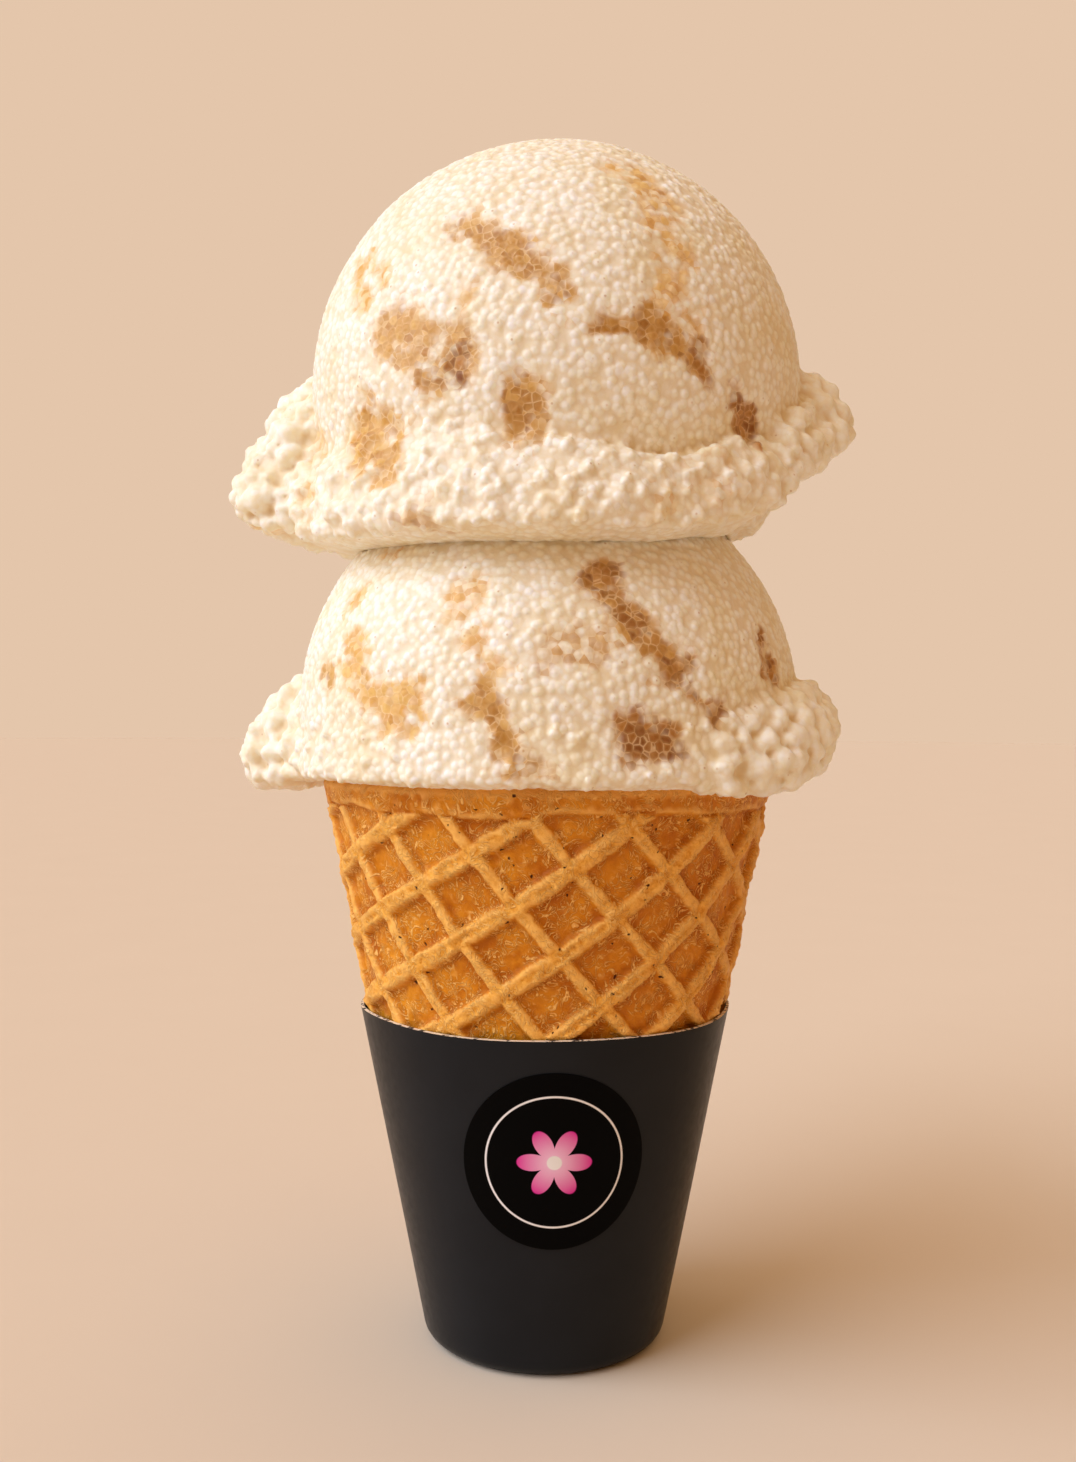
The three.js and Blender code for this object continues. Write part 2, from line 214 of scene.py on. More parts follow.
camera = bpy.data.objects.new("camera", bpy.data.cameras.new("camera"))
bpy.context.scene.collection.objects.link(camera)
camera.data.lens = cameraSetup["lens"]
camera.data.clip_start = cameraSetup["nearest"]
turned = Matrix.Rotation(cameraSetup["turnLeft"], 4, "Z")
tipped = Matrix.Rotation(math.pi / 2 - cameraSetup["pitchDown"], 4, "X")
rolledView = Matrix.Rotation(cameraSetup["roll"], 4, "Z")
stand = Matrix.Translation((0, -cameraSetup["distance"], cameraSetup["height"]))
camera.matrix_world = stand @ turned @ tipped @ rolledView
bpy.context.scene.camera = camera
print("camera placed")


# Studio: a wide pale floor, a backdrop of the same tone all round, and soft sunlike lamps

studio = {
    "sides": 128,
    "floorRadius": 3.4,
    "backdropRadius": 3.4,
    "backdropHeight": 8,
    "floorColour": "#DCCEBB",
    "mottleColour": "#DED0BD",
    "mottleSize": 100 / 3,  # mm
    "backdropColour": "#E4C6AB",
    "airColour": "#FFA44A",
    "airStrength": 0.27,
}
lamps = {
    "keyLight": {"from": (-1.0, -0.56, 0.84), "spread": 54, "strength": 2.84, "tint": "#DEECFF"},
    "rimLight": {"from": (-1.0, 0.3, 0.35), "spread": 34, "strength": 0.55, "tint": "#FFFFFF"},
    "topLight": {"from": (0.1, -0.2, 1.0), "spread": 110, "strength": 0.94, "tint": "#FFE6BE"},
    "backLight": {"from": (0.1, 1.0, 0.6), "spread": 90, "strength": 0.45, "tint": "#FFE8C6"},
}


def buildStudio():
    deselectAll()
    sides, radius = studio["sides"], studio["floorRadius"]
    bpy.ops.mesh.primitive_circle_add(vertices=sides, radius=radius, fill_type="NGON")
    floor = settle("studio_floor")
    # Matt painted floor: an even pale ground with no sheen
    material, shader, add = newMaterial("mattPaintedFloor")
    where = add("TexCoord").outputs["Object"]
    mottle = add("TexNoise", {"Vector": where, "Scale": 1 / (studio["mottleSize"] * mm)})
    colour = add("Mix", {0: mottle, 6: studio["floorColour"], 7: studio["mottleColour"]}, inColour)
    feed(shader, {"Base Color": colour, "Roughness": 1.0, "Specular IOR Level": 0.0})
    floor.data.materials.append(material)

    deselectAll()
    height = studio["backdropHeight"]
    bpy.ops.mesh.primitive_cylinder_add(
        vertices=sides,
        radius=studio["backdropRadius"],
        depth=height,
        location=(0, 0, height / 2),
        end_fill_type="NOTHING",
    )
    backdrop = settle("studio_backdrop")
    # Backlit paper roll: an even glow that only the camera sees, so it lights nothing
    paper, shader = newMaterial("backlitPaper")[:2]
    feed(shader, {"Base Color": "#000000", "Specular IOR Level": 0.0})
    feed(shader, {"Emission Color": studio["backdropColour"], "Emission Strength": 1.0})
    backdrop.data.materials.append(paper)
    backdrop.visible_diffuse = False
    backdrop.visible_glossy = False
    backdrop.visible_transmission = False
    backdrop.visible_shadow = False

    world = bpy.data.worlds.new("studioAir")
    world.use_nodes = True
    ground = world.node_tree.nodes["Background"]
    ground.inputs[0].default_value = hexToLinear(studio["airColour"])
    ground.inputs[1].default_value = studio["airStrength"]
    bpy.context.scene.world = world

    for name, settings in lamps.items():
        lamp = bpy.data.lights.new(name, "SUN")
        lamp.angle = math.radians(settings["spread"])
        lamp.energy = settings["strength"]
        lamp.color = hexToLinear(settings["tint"])[:3]
        stand = bpy.data.objects.new(name, lamp)
        bpy.context.scene.collection.objects.link(stand)
        stand.location = settings["from"]
        stand.rotation_euler = Vector(settings["from"]).to_track_quat("Z", "Y").to_euler()
    bpy.context.scene.view_settings.view_transform = "Standard"


buildStudio()
print("studio ready")


# The card holder: a black coated cup with a pale cut edge and a glued lap at the back

cardHolder = {
    "height": 44.3,
    "footRadius": 15.75,
    "slope": 0.2,
    "wall": 0.4,
    "footRounding": 2,
    "roundingCuts": 6,
    "sides": 240,
    "rings": 26,
    "lapAzimuth": 170,
    "lapSpan": 40,
    "lapStep": 0.3,
    "lapFade": (2, 5),
    "lapCrispness": 0.12,
    # how far from round the sides and the rim are: mm, waves in a turn and where they start in degrees
    "sideWaves": [(0.12, 3, 40), (0.07, 8, 0)],
    "sideWavesFade": (8, 44),
    "rimWave": (0.1, 5, 20),
    "rimWaveFade": (30, 44),
    "cutEdge": "#E4D3B8",
    "smoothUpTo": 40,
}


def holderRadius(z):
    return cardHolder["footRadius"] + cardHolder["slope"] * z


def sideWave(azimuth, z):
    # how far in or out the card's side is at each azimuth in degrees
    waves = cardHolder["sideWaves"]
    total = sum(size * np.sin(np.radians(azimuth * times + start)) for size, times, start in waves)
    return total * mm * smoothStep(z / mm, *cardHolder["sideWavesFade"])


def makeBlackCard():
    # Coated black card, satin varnished: charcoal where it is lit, deep black in the shade, with a sheen
    # that grows towards the edges and a faint fibre mottle
    material, shader, add = newMaterial("satinBlackCard")
    where = add("TexCoord").outputs["Object"]
    fibre = add("TexNoise", {"Vector": where, "Scale": 1 / (1.1 * mm), "Detail": 4.0})
    cloud = add("TexNoise", {"Vector": where, "Scale": 1 / (9 * mm), "Detail": 3.0})
    colour = add("Mix", {0: cloud, 6: "#1A1B1D", 7: "#222427"}, inColour)
    gloss = add(
        "MapRange", {"Value": fibre, "From Min": 0.3, "From Max": 0.7, "To Min": 0.3, "To Max": 0.4}
    )
    bump = add("Bump", {"Height": fibre, "Strength": 0.25, "Distance": 0.04 * mm})
    feed(shader, {"Base Color": colour, "Roughness": gloss, "Specular IOR Level": 0.1, "Normal": bump})
    return material


def makeCutEdge():
    # Raw board where the card was cut: pale, dry and fibrous, with flecks of the black coating
    material, shader, add = newMaterial("rawCardEdge")
    where = add("TexCoord").outputs["Object"]
    flecks = add("TexNoise", {"Vector": where, "Scale": 1 / (0.7 * mm), "Detail": 2.0})
    share = add("MapRange", {"Value": flecks, "From Min": 0.52, "From Max": 0.6})
    colour = add("Mix", {0: share, 6: cardHolder["cutEdge"], 7: "#3A332C"}, inColour)
    feed(shader, {"Base Color": colour, "Roughness": 0.9})
    return material


def buildHolder():
    height = cardHolder["height"] * mm
    deselectAll()
    bpy.ops.mesh.primitive_cone_add(
        vertices=cardHolder["sides"],
        radius1=holderRadius(0) * mm,
        radius2=holderRadius(cardHolder["height"]) * mm,
        depth=height,
        location=(0, 0, height / 2),
        end_fill_type="NGON",
    )
    cup = settle("card_holder")
    selectParts(cup, "faces", lambda centre, face: face.normal.z > 0.9)
    bpy.ops.mesh.delete(type="FACE")
    selectParts(cup, "edges", lambda centre, edge: centre.z < 0.01 * mm)
    bpy.ops.mesh.bevel(
        offset=cardHolder["footRounding"] * mm, segments=cardHolder["roundingCuts"], affect="EDGES"
    )
    rounded = 2 * cardHolder["footRounding"] * mm
    selectParts(cup, "edges", lambda centre, edge: rounded < centre.z < height - rounded)
    bpy.ops.mesh.subdivide(number_cuts=cardHolder["rings"])
    deselectAll()

    points = readPoints(cup)
    azimuth = azimuthOf(points)
    lap = cardHolder["lapAzimuth"]
    # the two columns at the lap's end are drawn together, so that its edge is crisp
    spacing = 360 / cardHolder["sides"]
    offset = (azimuth - lap + 180) % 360 - 180
    azimuth = np.where(np.abs(offset) < spacing, lap + offset * cardHolder["lapCrispness"], azimuth)
    radius = np.hypot(points[:, 0], points[:, 1])
    share = np.clip((azimuth - lap + cardHolder["lapSpan"]) / cardHolder["lapSpan"], 0, 1)
    proud = np.where(azimuth <= lap, share * cardHolder["lapStep"], 0) * mm
    proud *= smoothStep(points[:, 2] / mm, *cardHolder["lapFade"])
    radius += proud + sideWave(azimuth, points[:, 2])
    size, times, start = cardHolder["rimWave"]
    rimShare = smoothStep(points[:, 2] / mm, *cardHolder["rimWaveFade"])
    points[:, 2] += size * mm * np.sin(np.radians(azimuth * times + start)) * rimShare
    turn = np.radians(azimuth)
    points[:, 0] = radius * np.sin(turn)
    points[:, 1] = -radius * np.cos(turn)
    writePoints(cup, points)

    cup.data.materials.append(makeBlackCard())
    cup.data.materials.append(makeCutEdge())
    applyModifier(
        cup,
        "SOLIDIFY",
        thickness=cardHolder["wall"] * mm,
        offset=-1.0,
        use_rim=True,
        material_offset_rim=1,
    )
    makeActive(cup)
    bpy.ops.object.shade_smooth_by_angle(angle=math.radians(cardHolder["smoothUpTo"]))
    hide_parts("holder")
    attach(cup, "root")


buildHolder()
print("card holder made")


# The round sticker, printed with a plain flower and a fine ring

sticker = {
    "radius": 11.35,
    "height": 29.1,
    "azimuth": 3,
    "lift": 0.03,
    "thickness": 0.14,
    "sides": 96,
    "rings": 7,
    "heartOfRings": 0.7,
    "petals": 6,
    # shares of the sticker's radius
    "petalFrom": 0.16,
    "petalLength": 0.24,
    "ringAt": 0.74,
}


def makeStickerPaper():
    # Printed vinyl paper, matt laminated: a deeper, flatter black than the card with crisp print
    material, shader, add = newMaterial("mattPrintedSticker")
    place = add("UVMap", settings={"uv_map": "UVMap"})
    centred = add("VectorMath", {0: place, 1: (2, 2, 0), 2: (-1, -1, 0)}, multiplyAdd)
    length = add("VectorMath", {0: centred}, {"operation": "LENGTH"})
    parts = add("SeparateXYZ", {0: centred})
    angle = add("Math", {0: parts.outputs[1], 1: parts.outputs[0]}, {"operation": "ARCTAN2"})
    turns = add("Math", {0: angle, 1: sticker["petals"] / 2}, multiply)
    wave = add("Math", {0: turns}, {"operation": "COSINE"})
    petal = add("Math", {0: wave}, {"operation": "ABSOLUTE"})
    reach = add("Math", {0: petal, 1: sticker["petalLength"], 2: sticker["petalFrom"]}, multiplyAdd)
    edge = add("Math", {0: reach, 1: length}, subtract)
    flower = add("MapRange", {"Value": edge, "From Min": -0.006, "From Max": 0.006})
    fade = add("MapRange", {"Value": length, "From Min": 0.08, "From Max": 0.4})
    pink = add("Mix", {0: fade, 6: "#F6C3DF", 7: "#E0319A"}, inColour)
    fromRing = add("Math", {0: length, 1: sticker["ringAt"]}, subtract)
    ringGap = add("Math", {0: fromRing}, {"operation": "ABSOLUTE"})
    ring = add("MapRange", {"Value": ringGap, "From Min": 0.014, "From Max": 0.008})
    ringed = add("Mix", {0: ring, 6: "#020202", 7: "#EFEDEC"}, inColour)
    heart = add("MapRange", {"Value": length, "From Min": 0.085, "From Max": 0.075})
    flowered = add("Mix", {0: flower, 6: ringed, 7: pink}, inColour)
    printed = add("Mix", {0: heart, 6: flowered, 7: "#F5F2F0"}, inColour)
    feed(shader, {"Base Color": printed, "Roughness": 0.6, "Specular IOR Level": 0.05})
    return material


def buildSticker():
    radius = sticker["radius"] * mm
    deselectAll()
    bpy.ops.mesh.primitive_circle_add(vertices=sticker["sides"], radius=radius, fill_type="NGON")
    disc = settle("round_sticker")
    selectParts(disc, "faces", lambda centre, face: True)
    for ring in range(sticker["rings"]):
        bpy.ops.mesh.inset(thickness=radius / (sticker["rings"] + sticker["heartOfRings"]))
    bpy.ops.mesh.poke()
    deselectAll()
    layer = disc.data.uv_layers.get("UVMap") or disc.data.uv_layers.new(name="UVMap")
    for corner in disc.data.loops:
        spot = disc.data.vertices[corner.vertex_index].co
        layer.data[corner.index].uv = (0.5 + 0.5 * spot.x / radius, 0.5 + 0.5 * spot.y / radius)
    flat = readPoints(disc)
    z = sticker["height"] * mm + flat[:, 1]
    onCard = holderRadius(z / mm) * mm + sticker["lift"] * mm
    turn = math.radians(sticker["azimuth"]) + flat[:, 0] / onCard
    onCard = onCard + sideWave(np.degrees(turn), z)
    writePoints(disc, np.column_stack([onCard * np.sin(turn), -onCard * np.cos(turn), z]))
    disc.data.materials.append(makeStickerPaper())
    applyModifier(disc, "SOLIDIFY", thickness=sticker["thickness"] * mm, offset=1.0)
    makeActive(disc)
    bpy.ops.object.shade_smooth_by_angle(angle=math.radians(cardHolder["smoothUpTo"]))
    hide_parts("label")
    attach(disc, "root")


buildSticker()
print("sticker made")


# The wafer cone: a rolled sheet with a raised lattice, a plain band at the mouth and baked pits

wafer = {
    "foot": 1.3,
    "rim": 74.4,
    "radiusAtFoot": 15.65,
    "slope": 0.19,
    "relief": 0.95,
    "wall": 2.0,
    "floor": 3,
    # ribs: heights, and how far from the middle line the crown ends and the flank ends, in mm
    "thinHeight": 0.9,
    "thinFlank": (0.5, 1.25),
    "broadHeight": 1.05,
    "broadFlank": (0.66, 1.28),
    # the rising ribs' width and height: the least share, and what a swell between crossings adds
    "swellWidth": (0.85, 0.35),
    "swellHeight": (0.85, 0.15),
    "swellStart": 0.45,
    "creaseSize": (2.6, 0.55),
    "creaseDepth": 0.34,
    # noises: size and height in mm, and seed
    "ribBend": [(3.2, 0.24, 1), (1.1, 0.13, 2)],
    "ribUneven": [(4.5, 0.14, 3)],
    "bandUneven": [(5, 0.55, 4)],
    "crinkle": [(1.3, 0.18, 5), (0.75, 0.16, 6)],
    "mouthUneven": [(3.0, 0.25, 7)],
    "creaseSeed": 8,
    # the band round the mouth, its waves as mm and waves in a turn, and the fit in the card
    "bandProud": 0.95,
    "bandWave": (0.35, 5),
    "bandEdge": (-0.35, 0.25),
    "bandCrown": 0.3,
    "mouthRounding": (0.7, 0.5),
    "reliefFade": 0.8,
    "lapRise": (-0.2, 1.2),
    "cardGap": 0.25,
    "pressedOver": 0.3,
    # how widely and how deep hollows and crests are measured for the painted shade and highlight
    "dipRounds": 6,
    "dipDepth": 0.2,
    "smoothUpTo": 60,
    "reliefFrom": 41.0,
    "sides": 500,
    "rings": 96,
    "bandFrom": 71.2,
    "latticeStart": (-2.0, 156.15),
    "latticeDown": (5.256, -6.180),
    "latticeAcross": (-6.888, -4.698),
    "lapAzimuth": 180,
    "lapSpan": 75,
    "lapStep": 1.2,
}


def sheetRadius(z):
    return wafer["radiusAtFoot"] + wafer["slope"] * z - wafer["relief"]


def latticeRelief(azimuth, z, points):
    # millimetres above the sheet, and how much of that is rib, for each point
    apex = -wafer["radiusAtFoot"] / wafer["slope"]
    half = math.atan(wafer["slope"])
    slant = (z - apex) / math.cos(half)
    psi = np.radians(azimuth) * math.sin(half)
    flat = np.column_stack([slant * np.sin(psi), slant * np.cos(psi)]) - wafer["latticeStart"]
    down = np.array(wafer["latticeDown"])
    across = np.array(wafer["latticeAcross"])
    cross = abs(down[0] * across[1] - down[1] * across[0])
    steps = flat @ np.linalg.inv(np.array([down, across]))
    wobble = noiseSum(points, wafer["ribBend"])
    fromDown = np.abs(steps[:, 1] - np.round(steps[:, 1]))
    toDown = fromDown * cross / np.hypot(*down) + wobble
    toAcross = np.abs(steps[:, 0] - np.round(steps[:, 0])) * cross / np.hypot(*across) - wobble
    # ribs that run down are even; those that rise swell between the crossings and are creased lengthwise
    uneven = 1 + noiseSum(points, wafer["ribUneven"])
    swell = np.sin(np.pi * np.clip(fromDown / 0.5, 0, 1) * 0.5 + wafer["swellStart"])
    alongRib = flat @ (across / np.hypot(*across))
    overRib = flat @ (np.array([-across[1], across[0]]) / np.hypot(*across))
    long, short = wafer["creaseSize"]
    crease = noiseAt(np.column_stack([alongRib / long, overRib / short, 0 * z]), 1.0, wafer["creaseSeed"])
    thin = uneven * (1 - smoothStep(toDown, *wafer["thinFlank"]))
    width, height = (least + more * swell for least, more in (wafer["swellWidth"], wafer["swellHeight"]))
    broad = uneven * (1 - smoothStep(toAcross / width, *wafer["broadFlank"]))
    size, times = wafer["bandWave"]
    wave = wafer["bandFrom"] + size * np.sin(np.radians(azimuth * times))
    edge = wave + noiseSum(points, wafer["bandUneven"])
    band = smoothStep(z, edge + wafer["bandEdge"][0], edge + wafer["bandEdge"][1])
    thin, broad = thin * (1 - band), broad * (1 - band)
    heights = np.maximum(wafer["thinHeight"] * thin, wafer["broadHeight"] * broad * height)
    heights = heights + wafer["creaseDepth"] * crease * broad
    return np.maximum(heights, wafer["bandProud"] * band), np.maximum(thin, broad), band


def makeBakedWafer():
    # Baked sugar batter, pressed and rolled warm: matt golden brown, toasted darker in the cells,
    # pale along the rib crowns, with steam pits and hair-fine wrinkles; painted shade darkens the
    # hollows beside the ribs and a painted highlight lightens the rounded crests
    material, shader, add = newMaterial("bakedWaferBatter")
    where = add("TexCoord").outputs["Object"]
    painted = [add("Attribute", settings={"attribute_name": name}) for name in ("rib", "dip", "crest")]
    rib, dip, crest = (node.outputs["Fac"] for node in painted)
    toast = add("TexNoise", {"Vector": where, "Scale": 1 / (5 * mm), "Detail": 4.0, "Roughness": 0.65})
    toastShare = add("MapRange", {"Value": toast, "From Min": 0.35, "From Max": 0.65})
    speckle = add("TexNoise", {"Vector": where, "Scale": 1 / (0.7 * mm), "Detail": 3.0, "Roughness": 0.7})
    batter = add("MapRange", {"Value": speckle, "From Min": 0.32, "From Max": 0.66})
    cell = add("Mix", {0: toastShare, 6: "#C06B08", 7: "#E6961E"}, inColour)
    crown = add("Mix", {0: batter, 6: "#D88612", 7: "#FFC056"}, inColour)
    crownShare = add("MapRange", {"Value": rib, "From Min": 0.35, "From Max": 1.0}, eased)
    mixed = add("Mix", {0: crownShare, 6: cell, 7: crown}, inColour)
    # painted highlight: the rounded crests, measured on the mesh, are lightened
    crestHighlightShare = add("MapRange", {"Value": crest, "From Min": 0.2, "From Max": 1.0, "To Max": 0.65})
    crestHighlighted = add("Mix", {0: crestHighlightShare, 6: mixed, 7: "#FFC468"}, inColour)
    # painted shade: the hollows beside the ribs, measured on the mesh, are darkened
    hollowShadeShare = add("MapRange", {"Value": dip, "From Min": 0.15, "From Max": 1.0, "To Max": 0.4})
    hollowShaded = add("Mix", {0: hollowShadeShare, 6: crestHighlighted, 7: "#A85406"}, inColour)
    # hair-fine curled wrinkles, drawn as the level lines of a twisted cloud
    curl = add("TexNoise", {"Vector": where, "Scale": 1 / (2.1 * mm), "Detail": 1.5, "Distortion": 2.2})
    level = add("Math", {0: curl, 1: 0.09}, {"operation": "PINGPONG"})
    thread = add("MapRange", {"Value": level, "From Min": 0.036, "From Max": 0.008, "To Max": 0.95})
    patchy = add("TexNoise", {"Vector": where, "Scale": 1 / (2.2 * mm), "Detail": 1.0})
    patch = add("MapRange", {"Value": patchy, "From Min": 0.36, "From Max": 0.52})
    threadShare = add("Math", {0: thread, 1: patch}, multiply)
    threaded = add("Mix", {0: threadShare, 6: hollowShaded, 7: "#FFC870"}, inColour)
    # steam pits, about half a millimetre across
    warp = add("TexNoise", {"Vector": where, "Scale": 1 / (0.6 * mm), "Detail": 1.0})
    bent = add("VectorMath", {0: warp.outputs[1], 1: (0.9 * mm,) * 3, 2: where}, multiplyAdd)
    pits = add("TexVoronoi", {"Vector": bent, "Scale": 1 / (2.2 * mm)})
    pit = add("MapRange", {"Value": pits, "From Min": 0.1, "From Max": 0.06})
    pitted = add("Mix", {0: pit, 6: threaded, 7: "#5C2C0C"}, inColour)
    height = add("Math", {0: threadShare, 1: 0.7, 2: speckle}, multiplyAdd)
    sunk = add("Math", {0: pit, 1: -2.0, 2: height}, multiplyAdd)
    bump = add("Bump", {"Height": sunk, "Strength": 0.85, "Distance": 0.2 * mm})
    feed(shader, {"Base Color": pitted, "Normal": bump, "Roughness": 0.48, "Specular IOR Level": 0.18})
    return material


def buildWafer():
    foot, rim = wafer["foot"] * mm, wafer["rim"] * mm
    deselectAll()
    bpy.ops.mesh.primitive_cone_add(
        vertices=wafer["sides"],
        radius1=sheetRadius(wafer["foot"]) * mm,
        radius2=sheetRadius(wafer["rim"]) * mm,
        depth=rim - foot,
        location=(0, 0, (rim + foot) / 2),
        end_fill_type="NOTHING",
    )
    cone = settle("wafer_shell")
    reliefFrom = wafer["reliefFrom"] * mm
    selectParts(cone, "faces", lambda centre, face: True)
    bpy.ops.mesh.bisect(plane_co=(0, 0, reliefFrom), plane_no=(0, 0, 1))
    selectParts(cone, "edges", lambda centre, edge: reliefFrom + 1 * mm < centre.z < rim - 1 * mm)
    bpy.ops.mesh.subdivide(number_cuts=wafer["rings"])
    # the mouth is folded in to the wall's thickness and the inside goes down to the floor
    innerRim = sheetRadius(wafer["rim"]) - wafer["wall"]
    selectParts(cone, "edges", lambda centre, edge: centre.z > rim - 0.01 * mm)
    bpy.ops.mesh.extrude_region_move()
    into = innerRim / sheetRadius(wafer["rim"])
    bpy.ops.transform.resize(value=(into, into, 1), center_override=(0, 0, rim))
    floor = foot + wafer["floor"] * mm
    bpy.ops.mesh.extrude_region_move(TRANSFORM_OT_translate={"value": (0, 0, floor - rim)})
    down = (sheetRadius(wafer["foot"] + wafer["floor"]) - wafer["wall"]) / innerRim
    bpy.ops.transform.resize(value=(down, down, 1), center_override=(0, 0, floor))
    bpy.ops.mesh.edge_face_add()
    selectParts(cone, "edges", lambda centre, edge: centre.z < foot + 0.01 * mm)
    bpy.ops.mesh.edge_face_add()
    deselectAll()

    points = readPoints(cone) / mm
    azimuth = azimuthOf(points)
    z = points[:, 2].copy()
    radius = np.hypot(points[:, 0], points[:, 1])
    outside = (z > wafer["reliefFrom"] - 0.1) & (radius > sheetRadius(z) - 0.3)
    relief, ribs, band = np.zeros(len(z)), np.zeros(len(z)), np.zeros(len(z))
    relief[outside], ribs[outside], band[outside] = latticeRelief(
        azimuth[outside], z[outside], points[outside]
    )
    crinkle = np.zeros(len(z))
    crinkle[outside] = noiseSum(points[outside], wafer["crinkle"])
    lapShare = np.clip((azimuth - wafer["lapAzimuth"]) / wafer["lapSpan"] + 1, 0, 1)
    riseFrom, riseTo = (cardHolder["height"] + rise for rise in wafer["lapRise"])
    lap = wafer["lapStep"] * lapShare * smoothStep(z, riseFrom, riseTo)
    fade = smoothStep(z, wafer["reliefFrom"], wafer["reliefFrom"] + wafer["reliefFade"])
    below, inward = wafer["mouthRounding"]
    rounding = inward * smoothStep(z, wafer["rim"] - below, wafer["rim"])
    radius = radius + np.where(outside, (relief + crinkle) * fade + lap - rounding, 0)
    # inside the card the ribs are pressed against it
    pressed = outside & (z < cardHolder["height"] + wafer["pressedOver"])
    room = holderRadius(z[pressed]) - cardHolder["wall"] - wafer["cardGap"]
    radius[pressed] = np.minimum(radius[pressed], room)
    topEdge = z > wafer["rim"] - 0.2
    z[topEdge] += noiseSum(points[topEdge], wafer["mouthUneven"])
    turn = np.radians(azimuth)
    writePoints(cone, np.column_stack([radius * np.sin(turn), -radius * np.cos(turn), z]) * mm)
    # hollows and crests are measured for the material's painted shade and painted highlight
    bend = hollowness(cone, wafer["dipRounds"], wafer["dipDepth"] * mm) * outside
    paint(cone, "rib", np.maximum(ribs, wafer["bandCrown"] * band))
    paint(cone, "dip", np.clip(bend, 0, 1))
    paint(cone, "crest", np.clip(-bend, 0, 1))
    cone.data.materials.append(makeBakedWafer())
    makeActive(cone)
    bpy.ops.object.shade_smooth_by_angle(angle=math.radians(wafer["smoothUpTo"]))
    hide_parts("wafer_cone")
    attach(cone, "root")


buildWafer()
print("wafer cone made")


# The ice cream: two balls with torn collars, frozen grain all over, and caramel ripple

grain = {
    "size": 1.0,
    "randomness": 0.9,
    "height": 0.28,
    "swell": 0.22,
    "swellSize": 11,
    "rippleSunk": 0.35,
    "tornKept": 0.3,
}
iceCream = {
    "voxel": 0.41,
    "ballCuts": 6,
    "smoothing": 2,
    # how widely and how deep hollows are measured for the painted shade in the crevices
    "dipRounds": 12,
    "dipDepth": 0.45,
    "mostTriangles": 196000,
    # the collar: the ring that it is made of, the shares of its reach under the lip and inside the
    # crest, and the reach and the height over the ball where it counts as torn
    "ringRadius": 30,
    "ringThickness": 3,
    "ringSides": 320,
    "ringRounds": 36,
    "lipUnder": 0.78,
    "crestInside": 0.35,
    "crestDrop": 2,
    "tornFrom": 33.3,
    "tornOver": 2,
    "tornPull": 0.8,
    "tornProud": (0.3, 1.5),
    # crumbs: one in how many, smallest and largest radius, the reach of the collar that they start
    # from, and the share of the radius that they sink in
    "crumbs": [
        (1, (0.85, 1.2), 33.1, 0.35),
        (2, (1.2, 1.6), 33.9, 0.3),
        (12, (1.7, 2.1), 35.8, 0.5),
    ],
    "crumbFaces": 2,
    "crumbTries": 5,
    "crumbSection": (0.24, 0.74),
    "crumbFrom": 30.5,
    "crumbClear": 0.7,
    "crumbApart": 0.86,
    "crumbStretch": (0.8, 1.2),
    # the ripple's edge: noises as size, amount and seed, and how far in and out of it the colour fades
    "rippleBend": [(4.2, 1.9, 0), (1.7, 0.9, 1)],
    "rippleFade": (-1.2, 2.2),
    "rippleNearest": 20,
}
backStreaks = {
    "seed": 50,
    "count": 9,
    "from": 100,
    "span": 140,
    "margin": 8,
    "lean": (8, 20),
    "fall": (4, 10),
    "stray": 0.8,
    "width": (2.4, 6),
    "strength": (0.6, 1),
}

